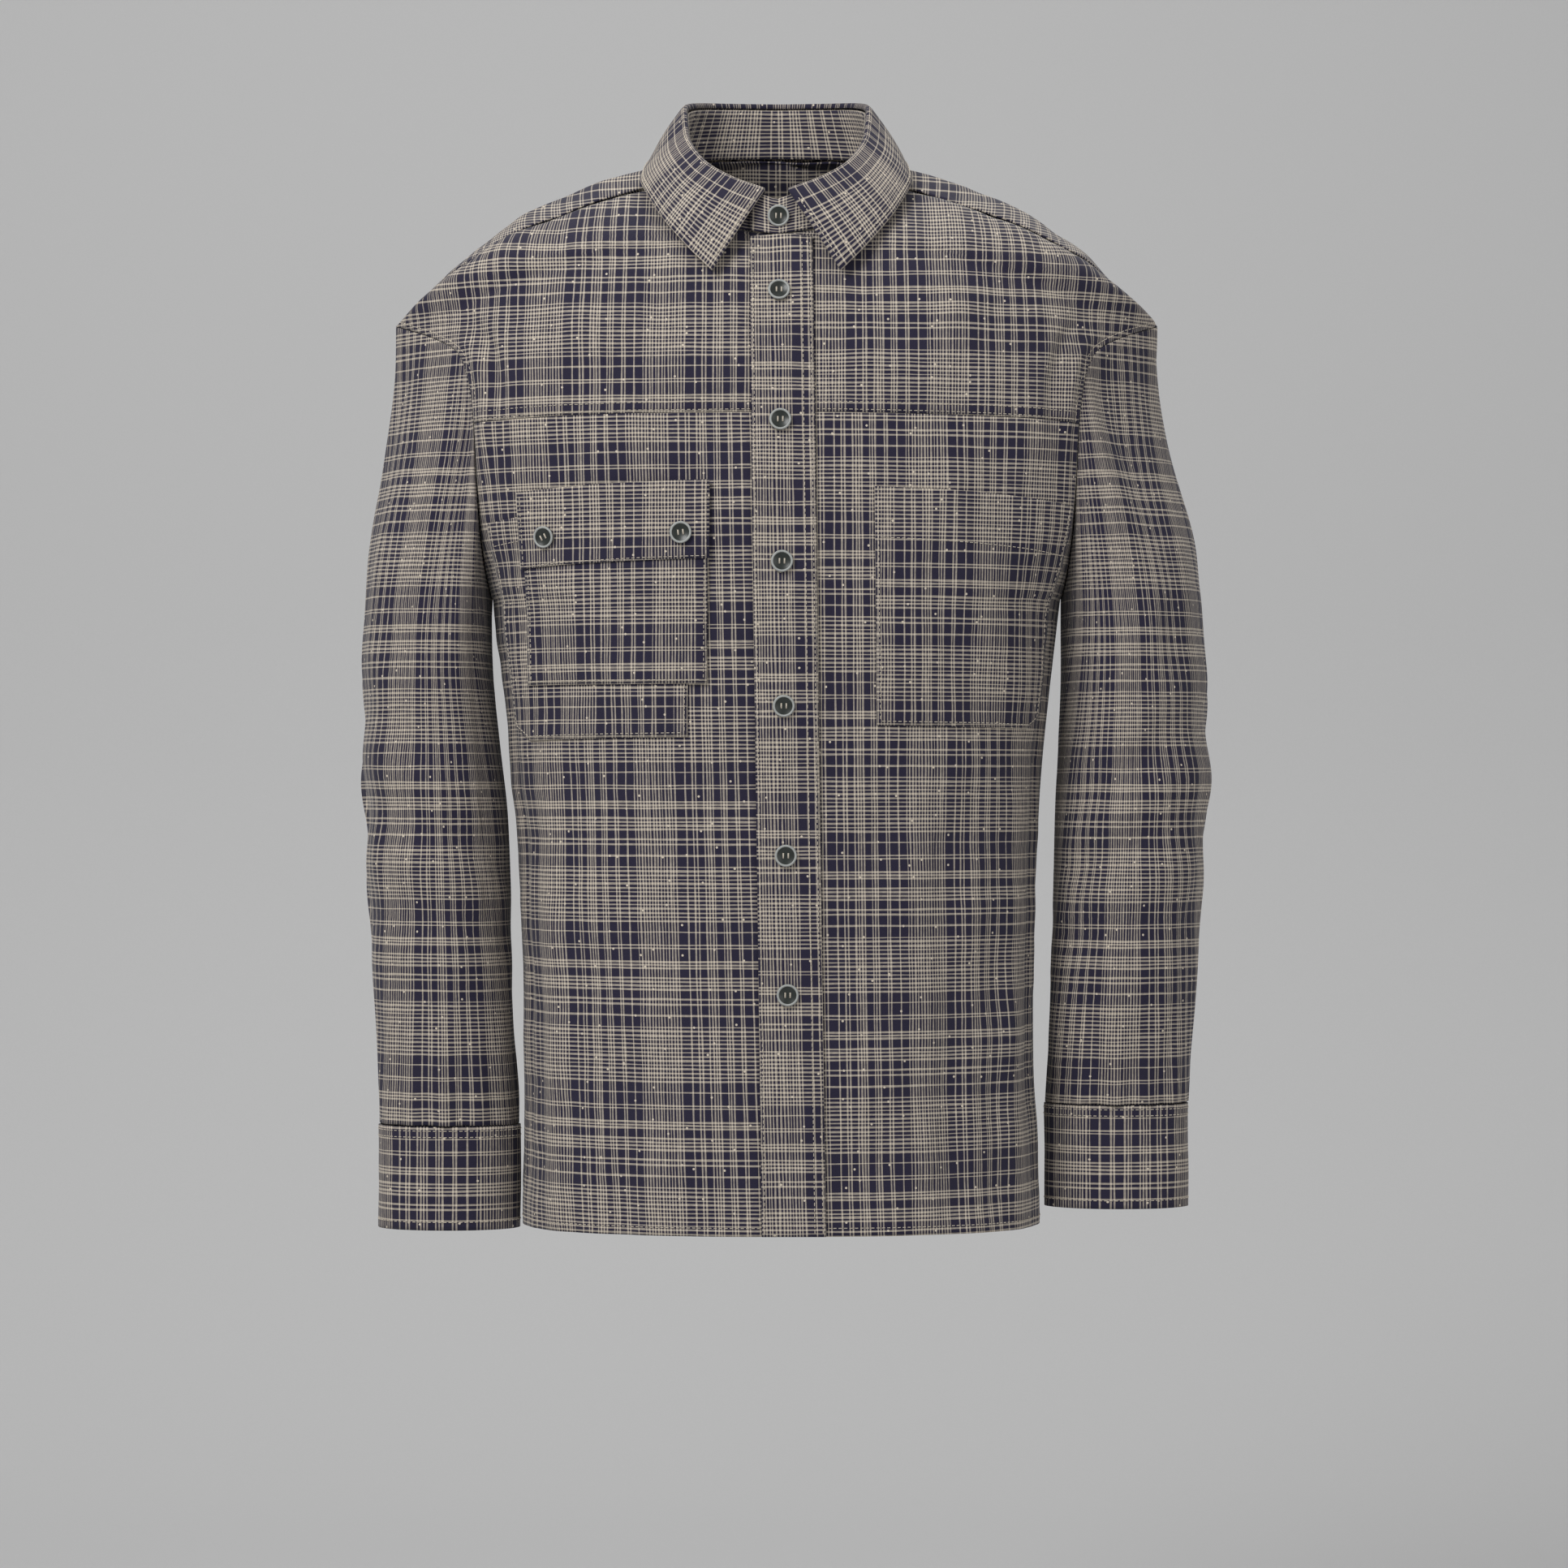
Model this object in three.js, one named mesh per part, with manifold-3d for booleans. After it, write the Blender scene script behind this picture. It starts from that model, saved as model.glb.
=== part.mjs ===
// A long-sleeved, button-front linen shirt in the hollow shape it has when worn.
// Millimetres, +Z up, the front faces -Y and the wearer's left is +X.
// The origin is the middle of the neck, level with the tops of the shoulders.
import * as THREE from 'three';
import { mergeVertices } from 'three/addons/utils/BufferGeometryUtils.js';
import Module from 'manifold-3d';

// Cloth walls and the clearances between pieces.
const CLOTH = 1.4;
const DOUBLE_CLOTH = 2;
const SEAM = 0.3;
const LIE = 0.9;

// Button strip, chest seam and pockets.
const STRIP = { left: -18.5, right: 24.5, drift: 9, join: 17 };
const HEM_Z = -738;
const FLAT = 0.85;
const HEM_SHIFT = 3;
const SHIFT_TOP = -300;

// Buttons.
const BUTTON = { radius: 7.5, height: 3, rim: 1.4, dish: 0.9, hole: 0.9, spread: 1.7, sides: 18 };
const BUTTON_HEIGHTS = [-94, -183, -279.5, -377, -478.5, -573];

// Rows of the body are numbered from the hem (0) up. Row 7 meets the underarm, row 11 of the
// front is the chest seam, row 12 of the back is the yoke seam and row 15 reaches the neck.
const UNDERARM_ROW = 7;
const CHEST_ROW = 11;
const YOKE_ROW = 12;
const NECK_ROW = 15;

// The side seam below the arm: half the body's width and the height of the seam at each row.
const SIDE_SEAM = [
  { row: 0, half: 181.5, z: HEM_Z },
  { row: 1, half: 180.5, z: -690 },
  { row: 2, half: 179.5, z: -622 },
  { row: 3, half: 180, z: -545 },
  { row: 4, half: 183.5, z: -465 },
  { row: 5, half: 188, z: -405 },
  { row: 6, half: 194, z: -350 },
  { row: 7, half: 200, z: -300 },
];

// The middle line of the front and of the back, with how far each row turns round the side
// (degrees), how far it bows out and how straight it falls from the middle to the edge.
const FRONT = {
  outward: -1,
  top: 18,
  middle: [
    { row: 0, y: -127, z: -736 },
    { row: 1, y: -125, z: -688 },
    { row: 2, y: -122, z: -620 },
    { row: 3, y: -120, z: -541 },
    { row: 4, y: -120, z: -461 },
    { row: 5, y: -122, z: -401 },
    { row: 6, y: -124, z: -351 },
    { row: 7, y: -124.5, z: -310 },
    { row: 8, y: -123, z: -278 },
    { row: 9, y: -121, z: -245 },
    { row: 10, y: -118, z: -212 },
    { row: 11, y: -113, z: -177 },
    { row: 12, y: -108, z: -145 },
    { row: 13, y: -100, z: -112 },
    { row: 14, y: -89, z: -81 },
    { row: 15, y: -74, z: -52 },
  ],
  shape: [
    { row: 0, turn: 90, bow: 0, straight: 0.2 },
    { row: 7, turn: 90, bow: 0, straight: 0.2 },
    { row: 9, turn: 76, bow: 0, straight: 0.2 },
    { row: 11, turn: 62, bow: 2, straight: 0.25 },
    { row: 13, turn: 55, bow: 5, straight: 0.25 },
    { row: 15, turn: 55, bow: 12, straight: 0.3 },
    { row: 17, turn: 60, bow: 22, straight: 0.4 },
    { row: 18, turn: 62, bow: 30, straight: 0.5 },
  ],
  arm: [
    { row: 7, phi: 180 },
    { row: 8, phi: 160 },
    { row: 9, phi: 140 },
    { row: 10, phi: 120 },
    { row: 11, phi: 100 },
    { row: 12, phi: 80 },
    { row: 13, phi: 62 },
    { row: 14, phi: 46 },
    { row: 15, phi: 30 },
    { row: 16, phi: 15 },
    { row: 17, phi: 0 },
    { row: 18, phi: -15 },
  ],
  neck: [
    { row: 15, psi: 0 },
    { row: 16, psi: 25 },
    { row: 17, psi: 50 },
    { row: 18, psi: 75 },
  ],
};

const BACK = {
  outward: 1,
  top: 19,
  middle: [
    { row: 0, y: 119, z: -738 },
    { row: 1, y: 117, z: -690 },
    { row: 2, y: 112, z: -622 },
    { row: 3, y: 108, z: -545 },
    { row: 4, y: 108, z: -463 },
    { row: 5, y: 112, z: -402 },
    { row: 6, y: 116, z: -350 },
    { row: 7, y: 119, z: -302 },
    { row: 8, y: 120, z: -262 },
    { row: 9, y: 119, z: -220 },
    { row: 10, y: 116, z: -178 },
    { row: 11, y: 111, z: -135 },
    { row: 12, y: 103, z: -92 },
    { row: 13, y: 90, z: -50 },
    { row: 14, y: 75, z: -12 },
    { row: 15, y: 60, z: 19 },
  ],
  shape: [
    { row: 0, turn: 90, bow: 0, straight: 0.2 },
    { row: 7, turn: 90, bow: 0, straight: 0.2 },
    { row: 9, turn: 78, bow: 0, straight: 0.2 },
    { row: 12, turn: 64, bow: 0, straight: 0.25 },
    { row: 15, turn: 60, bow: 6, straight: 0.3 },
    { row: 17, turn: 62, bow: 12, straight: 0.25 },
    { row: 18, turn: 62, bow: 6, straight: 0.22 },
    { row: 19, turn: 62, bow: -30, straight: 0.5 },
  ],
  arm: [
    { row: 7, phi: 180 },
    { row: 8, phi: 200 },
    { row: 9, phi: 220 },
    { row: 10, phi: 240 },
    { row: 11, phi: 260 },
    { row: 12, phi: 280 },
    { row: 13, phi: 298 },
    { row: 14, phi: 312 },
    { row: 15, phi: 322 },
    { row: 16, phi: 329 },
    { row: 17, phi: 335 },
    { row: 18, phi: 340 },
    { row: 19, phi: 345 },
  ],
  neck: [
    { row: 15, psi: 180 },
    { row: 16, psi: 150 },
    { row: 17, psi: 125 },
    { row: 18, psi: 100 },
    { row: 19, psi: 75 },
  ],
};

// Armhole seam, round the upper arm: 0 is the outermost point, 90 the front, 180 the underarm.
const ARMHOLE = [
  { phi: -15, x: 266, y: 22, z: -108 },
  { phi: 0, x: 269, y: 4, z: -107 },
  { phi: 20, x: 256, y: -17, z: -112 },
  { phi: 40, x: 237, y: -37, z: -120 },
  { phi: 60, x: 221, y: -53, z: -131 },
  { phi: 80, x: 213, y: -61, z: -151 },
  { phi: 100, x: 209, y: -64, z: -181 },
  { phi: 120, x: 207, y: -62, z: -222 },
  { phi: 140, x: 205, y: -52, z: -258 },
  { phi: 160, x: 202, y: -30, z: -287 },
  { phi: 180, x: 200, y: 0, z: -300 },
  { phi: 200, x: 203, y: 32, z: -286 },
  { phi: 220, x: 207, y: 55, z: -255 },
  { phi: 240, x: 210, y: 66, z: -215 },
  { phi: 260, x: 213, y: 69, z: -178 },
  { phi: 280, x: 217, y: 66, z: -148 },
  { phi: 300, x: 227, y: 57, z: -128 },
  { phi: 320, x: 244, y: 43, z: -116 },
  { phi: 345, x: 266, y: 22, z: -108 },
];

// Rings round the neck, from the front (0) to the back (180): the seam of the stand, the fold
// of the collar and the outer edge of the leaf.
const NECK_SEAM = [
  { psi: 0, x: 0, y: -74, z: -52 },
  { psi: 25, x: 31, y: -69, z: -46 },
  { psi: 50, x: 57, y: -52, z: -30 },
  { psi: 75, x: 73, y: -27, z: -10 },
  { psi: 100, x: 76, y: 0, z: 4 },
  { psi: 125, x: 66, y: 28, z: 12 },
  { psi: 150, x: 40, y: 50, z: 17 },
  { psi: 180, x: 0, y: 60, z: 19 },
];
const COLLAR_FOLD = [
  { psi: 0, x: 0, y: -68, z: -23 },
  { psi: 6, x: 8, y: -67, z: -20 },
  { psi: 25, x: 30, y: -60, z: -11 },
  { psi: 50, x: 52, y: -43, z: 5 },
  { psi: 75, x: 63, y: -17, z: 26 },
  { psi: 100, x: 65, y: 9, z: 48 },
  { psi: 125, x: 56, y: 35, z: 55 },
  { psi: 150, x: 34, y: 56, z: 58 },
  { psi: 180, x: 0, y: 65, z: 59 },
];
const LEAF_EDGE = [
  { psi: 6, x: 44, y: -97, z: -79 },
  { psi: 25, x: 64, y: -86, z: -58 },
  { psi: 50, x: 84, y: -62, z: -31 },
  { psi: 75, x: 95, y: -30, z: -7 },
  { psi: 100, x: 91, y: 4, z: 7 },
  { psi: 125, x: 75, y: 43, z: 16 },
  { psi: 150, x: 43, y: 69, z: 15 },
  { psi: 180, x: 0, y: 80, z: 12 },
];

// Sleeve sections from the armhole (at 0) to the cuff seam (at 1): the outer and inner edges
// of the tube seen from the front, and how deep it is in front of and behind its middle.
const SLEEVE_RIGHT = {
  side: -1,
  cuffTop: -669,
  cuffBottom: -741,
  sections: [
    { at: 0, outer: 269, inner: 200, front: 64, back: 69 },
    { at: 0.12, outer: 281, inner: 199.5, front: 67, back: 70 },
    { at: 0.27, outer: 288, inner: 195.5, front: 67, back: 67 },
    { at: 0.42, outer: 292, inner: 189.5, front: 64, back: 61 },
    { at: 0.58, outer: 290, inner: 187, front: 60, back: 54 },
    { at: 0.74, outer: 286, inner: 184.5, front: 55, back: 46 },
    { at: 0.88, outer: 282, inner: 181.5, front: 49, back: 36 },
    { at: 1, outer: 280, inner: 180, front: 41, back: 23 },
  ],
};
const SLEEVE_LEFT = {
  side: 1,
  cuffTop: -654,
  cuffBottom: -726,
  sections: [
    { at: 0, outer: 269, inner: 200, front: 64, back: 69 },
    { at: 0.12, outer: 282, inner: 201, front: 67, back: 70 },
    { at: 0.27, outer: 294, inner: 199, front: 67, back: 67 },
    { at: 0.42, outer: 301, inner: 196.5, front: 65, back: 62 },
    { at: 0.58, outer: 304, inner: 195, front: 61, back: 55 },
    { at: 0.74, outer: 298, inner: 193, front: 56, back: 47 },
    { at: 0.88, outer: 293, inner: 190.5, front: 49, back: 37 },
    { at: 1, outer: 289.5, inner: 188.5, front: 41, back: 23 },
  ],
};
const SLEEVE_RINGS = 12;
const SLEEVE_BLEND = 0.3;
const ARM_GAP = 0.6;
const ARM_DROP = 2.2;
const TOP_TRIM = 0.12;
const CUFF_LAP = { start: 285, turn: 385, lift: 2.6, steps: 22 };

// The largest folds of the body: where each lies across (u) and up (row), its half-width in u,
// and its depth, down into the cloth where negative.
const BODY_FOLDS = [
  { part: FRONT, u: -0.62, spread: 0.1, low: -1, high: 6.5, depth: 4 },
  { part: FRONT, u: -0.36, spread: 0.09, low: -1, high: 4, depth: -3.5 },
  { part: FRONT, u: 0.42, spread: 0.1, low: -1, high: 5, depth: -3.5 },
  { part: FRONT, u: 0.68, spread: 0.1, low: -1, high: 6, depth: 4 },
  { part: BACK, u: -0.55, spread: 0.12, low: -1, high: 7, depth: 6 },
  { part: BACK, u: -0.2, spread: 0.12, low: -1, high: 5, depth: -5 },
  { part: BACK, u: 0.25, spread: 0.12, low: -1, high: 6, depth: -5 },
  { part: BACK, u: 0.6, spread: 0.12, low: -1, high: 7, depth: 6 },
];

// Pockets on the lower fronts: corners across (x) and up (z), and the layer each lies in.
const POCKETS = [
  { name: 'pocket_back_patch', layer: 0, top: [-199, -60, -243], foot: [-181, -60, -399], cut: -13 },
  { name: 'pocket_front_patch', layer: 1, top: [-172, -46, -236], foot: [-169, -47, -362], cut: 0 },
  { name: 'pocket_flap', layer: 2, top: [-176, -45, -226], foot: [-173, -45, -279], cut: 0 },
  { name: 'chest_pocket_left', layer: 0, top: [66.5, 203, -231], foot: [68, 181, -391], cut: 9 },
];
const FLAP_BUTTONS = [[-156, -261], [-64, -260]];

const U_LINES = [0, 0.1, 0.2, 0.3, 0.38, 0.46, 0.54, 0.62, 0.7, 0.78, 0.86, 0.93, 1];
const FRONT_LINES = [0, 1, 2, 3, 4, 5, 6, 6.5, 7, 7.5, 8, 8.5, 9, 9.5, 10, 10.5, 11, 12, 13, 14, 15, 16, 17, 18];
const BACK_LINES = [0, 1, 2, 3, 4, 5, 6, 7, 8, 9, 10, 11, 12, 13, 14, 15, 16, 17, 18, 19];
const RAD = Math.PI / 180;

const cloth = { color: 0x57535c, roughness: 0.92, metalness: 0 };
const horn = { color: 0x1d211e, roughness: 0.4, metalness: 0 };

const shirt = new THREE.Group();

// Smooth value of one column of a table at a station, through its rows in order.
function read(rows, station, key, at) {
  let i = 0;
  while (i < rows.length - 2 && at > rows[i + 1][station]) i += 1;
  const rise = (j) => (rows[j + 1][key] - rows[j][key]) / (rows[j + 1][station] - rows[j][station]);
  const slope = (j) => {
    if (j === 0) return rise(0);
    if (j === rows.length - 1) return rise(j - 1);
    const before = rise(j - 1);
    const after = rise(j);
    return before * after > 0 ? (2 * before * after) / (before + after) : 0;
  };
  const low = rows[i];
  const high = rows[i + 1];
  const span = high[station] - low[station];
  const t = THREE.MathUtils.clamp((at - low[station]) / span, 0, 1);
  const bend = t * t * (3 - 2 * t);
  const leave = t * (1 - t) * (1 - t) * slope(i);
  const arrive = t * t * (t - 1) * slope(i + 1);
  return low[key] + (high[key] - low[key]) * bend + span * (leave + arrive);
}

// A point of a ring table, mirrored for a negative side.
function ringPoint(rows, station, at, side = 1) {
  const x = side * read(rows, station, 'x', at);
  return new THREE.Vector3(x, read(rows, station, 'y', at), read(rows, station, 'z', at));
}

function bump(t) {
  return Math.abs(t) >= 1 ? 0 : (1 + Math.cos(Math.PI * t)) / 2;
}

// A point of the front or the back: u runs from -1 to 1 across, row from the hem up.
function bodyPoint(part, u, row) {
  const side = u < 0 ? -1 : 1;
  const inner = new THREE.Vector3();
  if (row <= NECK_ROW) {
    inner.set(0, read(part.middle, 'row', 'y', row), read(part.middle, 'row', 'z', row));
  } else {
    inner.copy(ringPoint(NECK_SEAM, 'psi', read(part.neck, 'row', 'psi', row)));
  }
  const outer = new THREE.Vector3();
  if (row <= UNDERARM_ROW) {
    outer.set(read(SIDE_SEAM, 'row', 'half', row), 0, read(SIDE_SEAM, 'row', 'z', row));
  } else {
    outer.copy(ringPoint(ARMHOLE, 'phi', read(part.arm, 'row', 'phi', row)));
  }
  const turn = read(part.shape, 'row', 'turn', row) * RAD;
  const straight = read(part.shape, 'row', 'straight', row);
  const angle = Math.abs(u) * turn;
  const across = (Math.sin(angle) / Math.sin(turn)) ** FLAT;
  const level = (end) => 1 - Math.max(0, Math.cos(end)) ** FLAT;
  const away = level(angle) / level(turn);
  const fall = straight * across + (1 - straight) * (1 - Math.cos(angle)) / (1 - Math.cos(turn));
  const arch = Math.sin(Math.PI * Math.abs(u) ** 1.3) * read(part.shape, 'row', 'bow', row);
  const x = THREE.MathUtils.lerp(inner.x, outer.x, across);
  const y = THREE.MathUtils.lerp(inner.y, outer.y, away) + part.outward * arch;
  const z = THREE.MathUtils.lerp(inner.z, outer.z, fall);
  const sink = THREE.MathUtils.clamp((SHIFT_TOP - z) / (SHIFT_TOP - HEM_Z), 0, 1);
  return new THREE.Vector3(side * x + HEM_SHIFT * sink * sink, y, z);
}

// The outward direction of the cloth there.
function bodyNormal(part, u, row) {
  const du = u > 0.5 || (u < 0 && u > -0.5) ? -0.01 : 0.01;
  const dr = row > part.top / 2 ? -0.05 : 0.05;
  const here = bodyPoint(part, u, row);
  const along = bodyPoint(part, u + du, row).sub(here).multiplyScalar(Math.sign(du));
  const up = bodyPoint(part, u, row + dr).sub(here).multiplyScalar(Math.sign(dr));
  return along.cross(up).multiplyScalar(-part.outward).normalize();
}

// A point of the folded cloth and its outward direction.
function foldedPoint(part, u, row) {
  const normal = bodyNormal(part, u, row);
  const point = bodyPoint(part, u, row);
  for (const fold of BODY_FOLDS.filter((each) => each.part === part)) {
    const middle = fold.low;
    const reach = fold.high - fold.low;
    const height = fold.depth * bump((u - fold.u) / fold.spread) * bump((row - middle) / reach);
    point.addScaledVector(normal, height);
  }
  return { point, normal };
}

// The faceted front or back: pieces that lie on it take their points from its facets.
class Facets {
  constructor(part, lines, columns) {
    this.part = part;
    this.lines = lines;
    this.columns = columns;
    this.all = [...columns.slice(1).reverse().map((u) => -u), -1e-6, 1e-6, ...columns.slice(1)];
    this.corners = new Map();
  }

  corner(u, row) {
    const key = `${u},${row}`;
    if (!this.corners.has(key)) this.corners.set(key, foldedPoint(this.part, u, row));
    return this.corners.get(key);
  }

  // The point at height mm above the facets, each split from its low left to its high right.
  at(u, row, height = 0) {
    const place = (list, value) => {
      const found = list.findLastIndex((line) => line <= value);
      return Math.min(list.length - 2, Math.max(0, found));
    };
    const i = place(this.all, u);
    const j = place(this.lines, row);
    const s = (u - this.all[i]) / (this.all[i + 1] - this.all[i]);
    const t = (row - this.lines[j]) / (this.lines[j + 1] - this.lines[j]);
    const third = s >= t ? [i + 1, j] : [i, j + 1];
    const corners = [[i, j], third, [i + 1, j + 1]];
    const weights = [1 - Math.max(s, t), Math.abs(s - t), Math.min(s, t)];
    const point = new THREE.Vector3();
    const normal = new THREE.Vector3();
    corners.forEach(([p, q], k) => {
      const corner = this.corner(this.all[p], this.lines[q]);
      point.addScaledVector(corner.point, weights[k]);
      normal.addScaledVector(corner.normal, weights[k]);
    });
    return point.addScaledVector(normal.normalize(), height);
  }

  // Rows from low to high with the lines between them.
  between(low, high) {
    return [low, ...this.lines.filter((line) => line > low + 0.01 && line < high - 0.01), high];
  }

  // The u at which a row passes x.
  across(x, row) {
    let low = -1;
    let high = 1;
    for (let step = 0; step < 30; step += 1) {
      const middle = (low + high) / 2;
      if (this.at(middle, row).x < x) low = middle;
      else high = middle;
    }
    return (low + high) / 2;
  }

  // The u and row at x and z.
  find(x, z) {
    let low = 0;
    let high = NECK_ROW;
    for (let step = 0; step < 30; step += 1) {
      const middle = (low + high) / 2;
      if (this.at(this.across(x, middle), middle).z < z) low = middle;
      else high = middle;
    }
    const row = (low + high) / 2;
    return { u: this.across(x, row), row };
  }
}

// A closed cloth wall. Each block is a grid of corners { key, outer, inner }; corners with the
// same key are joined, and every open edge gets a rim.
function clothWall(blocks) {
  const index = new Map();
  const points = [];
  const quads = [];
  const number = (corner) => {
    if (!index.has(corner.key)) {
      index.set(corner.key, index.size);
      points.push(corner);
    }
    return index.get(corner.key);
  };
  for (const block of blocks) {
    for (let i = 0; i + 1 < block.length; i += 1) {
      for (let j = 0; j + 1 < block[i].length; j += 1) {
        const ring = [block[i][j], block[i][j + 1], block[i + 1][j + 1], block[i + 1][j]];
        quads.push(ring.map(number));
      }
    }
  }
  const [a, b, c] = quads[0].map((n) => points[n].outer);
  const face = b.clone().sub(a).cross(c.clone().sub(a));
  const out = points[quads[0][0]].outer.clone().sub(points[quads[0][0]].inner);
  if (face.dot(out) < 0) quads.forEach((quad) => quad.reverse());
  const used = new Set(quads.flatMap((quad) => quad.map((n, k) => `${n}>${quad[(k + 1) % 4]}`)));
  const triangles = [];
  const addQuad = (p, q, r, s) => triangles.push(p, q, r, p, r, s);
  const shift = points.length;
  for (const quad of quads) {
    const [p, q, r, s] = quad;
    addQuad(p, q, r, s);
    addQuad(p + shift, s + shift, r + shift, q + shift);
    quad.forEach((from, k) => {
      const to = quad[(k + 1) % 4];
      if (!used.has(`${to}>${from}`)) addQuad(to, from, from + shift, to + shift);
    });
  }
  const geometry = new THREE.BufferGeometry();
  const all = points.map((p) => p.outer).concat(points.map((p) => p.inner));
  geometry.setAttribute('position', new THREE.Float32BufferAttribute(all.flatMap((p) => p.toArray()), 3));
  geometry.setIndex(triangles);
  return geometry;
}

function addPiece(name, geometry, finish) {
  const mesh = new THREE.Mesh(geometry, new THREE.MeshStandardMaterial(finish));
  mesh.name = name;
  shirt.add(mesh);
  return mesh;
}

// A grid of corners on the facets: one list of u values for each row.
function bodyBlock(facets, rows, columns, inner, outer) {
  return rows.map((row) => columns(row).map((u) => ({
    key: `${u.toFixed(5)},${row.toFixed(4)}`,
    outer: facets.at(u, row, outer),
    inner: facets.at(u, row, inner),
  })));
}

const front = new Facets(FRONT, FRONT_LINES, U_LINES);
const back = new Facets(BACK, BACK_LINES, U_LINES);
const rowGap = SEAM / 2 / 34;

// x of a line that leans with the button strip.
function stripX(x, row) {
  const z = read(FRONT.middle, 'row', 'z', Math.min(row, NECK_ROW));
  return x + STRIP.drift * (z / HEM_Z) ** 1.2;
}

function joinLine(row, gap) {
  return front.across(stripX(STRIP.join, row) + gap, row);
}

function addFronts() {
  const outwards = U_LINES.slice(1);
  const rightColumns = (row) => {
    const lines = [...outwards].reverse().map((u) => -u);
    return row > NECK_ROW ? [...lines, -1e-6] : [...lines, -1e-6, joinLine(row, -SEAM)];
  };
  const leftColumns = (row) => [row > NECK_ROW ? 1e-6 : joinLine(row, SEAM), ...outwards];
  const lower = front.between(0, CHEST_ROW - rowGap);
  const upperBody = front.between(CHEST_ROW + rowGap, NECK_ROW);
  const upperNeck = front.between(NECK_ROW, FRONT.top);
  const armOnly = (row) => rightColumns(row).slice(0, U_LINES.length);
  addPiece('lower_front_right', clothWall([bodyBlock(front, lower, rightColumns, -CLOTH, 0)]), cloth);
  addPiece('lower_front_left', clothWall([bodyBlock(front, lower, leftColumns, -CLOTH, 0)]), cloth);
  const right = [
    bodyBlock(front, upperBody, rightColumns, -CLOTH, 0),
    bodyBlock(front, upperNeck, armOnly, -CLOTH, 0),
  ];
  addPiece('upper_front_right', clothWall(right), cloth);
  const left = bodyBlock(front, front.between(CHEST_ROW + rowGap, FRONT.top), leftColumns, -CLOTH, 0);
  addPiece('upper_front_left', clothWall([left]), cloth);
}

function addBack() {
  const whole = () => [...U_LINES.slice(1).reverse().map((u) => -u), 1e-6, ...U_LINES.slice(1)];
  const trim = (row) => whole().map((u) => (row <= UNDERARM_ROW && Math.abs(u) === 1 ? u * 0.9985 : u));
  const rows = back.between(0, YOKE_ROW - rowGap);
  addPiece('back_panel', clothWall([bodyBlock(back, rows, trim, -CLOTH, 0)]), cloth);
  const top = BACK.top - TOP_TRIM;
  const blocks = [bodyBlock(back, back.between(YOKE_ROW + rowGap, NECK_ROW), whole, -CLOTH, 0)];
  for (const side of [-1, 1]) {
    const arm = (row) => [row > NECK_ROW ? side * 1e-6 : 1e-6, ...U_LINES.slice(1).map((u) => side * u)];
    blocks.push(bodyBlock(back, back.between(NECK_ROW, top), arm, -CLOTH, 0));
  }
  blocks[1] = blocks[1].map((row) => row.reverse());
  addPiece('back_yoke', clothWall(blocks), cloth);
}

function addStrip() {
  const columns = (row) => {
    const leftEdge = front.across(stripX(STRIP.left, row), row);
    const rightEdge = front.across(stripX(STRIP.right, row), row);
    return [leftEdge, 1e-6, rightEdge];
  };
  const rows = front.between(0, NECK_ROW - rowGap * 3);
  const block = bodyBlock(front, rows, columns, LIE, LIE + DOUBLE_CLOTH);
  addPiece('button_placket', clothWall([block]), cloth);
}

function addPocket(pocket) {
  const [topLeft, topRight, topZ] = pocket.top;
  const [footLeft, footRight, footZ] = pocket.foot;
  const middle = (topLeft + topRight) / 2;
  const high = front.find(middle, topZ).row;
  const low = front.find(middle, footZ).row;
  const cutRow = front.find(middle, footZ + Math.abs(pocket.cut)).row;
  const edges = (row) => {
    const t = (row - low) / (high - low);
    const left = THREE.MathUtils.lerp(footLeft, topLeft, t) - (row === low ? Math.min(0, pocket.cut) : 0);
    const right = THREE.MathUtils.lerp(footRight, topRight, t) - (row === low ? Math.max(0, pocket.cut) : 0);
    return [front.across(left, row), front.across(right, row)];
  };
  const rows = front.between(low, high);
  if (pocket.cut) rows.splice(1, 0, cutRow);
  rows.sort((p, q) => p - q);
  const ends = rows.map(edges);
  const least = Math.max(...ends.map((pair) => pair[0])) + 0.01;
  const most = Math.min(...ends.map((pair) => pair[1])) - 0.01;
  const lines = front.all.filter((u) => u > least && u < most && u !== 1e-6);
  const spread = (from, to) => [0, 0.2, 0.4, 0.6, 0.8].map((t) => THREE.MathUtils.lerp(from, to, t));
  const columns = (row) => {
    const [left, right] = edges(row);
    const filled = spread(right, lines[lines.length - 1]).reverse();
    return [...spread(left, lines[0]), ...lines, ...filled];
  };
  const inner = LIE + pocket.layer * (CLOTH + LIE);
  const block = bodyBlock(front, rows, columns, inner, inner + CLOTH);
  addPiece(pocket.name, clothWall([block]), cloth);
}

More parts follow.
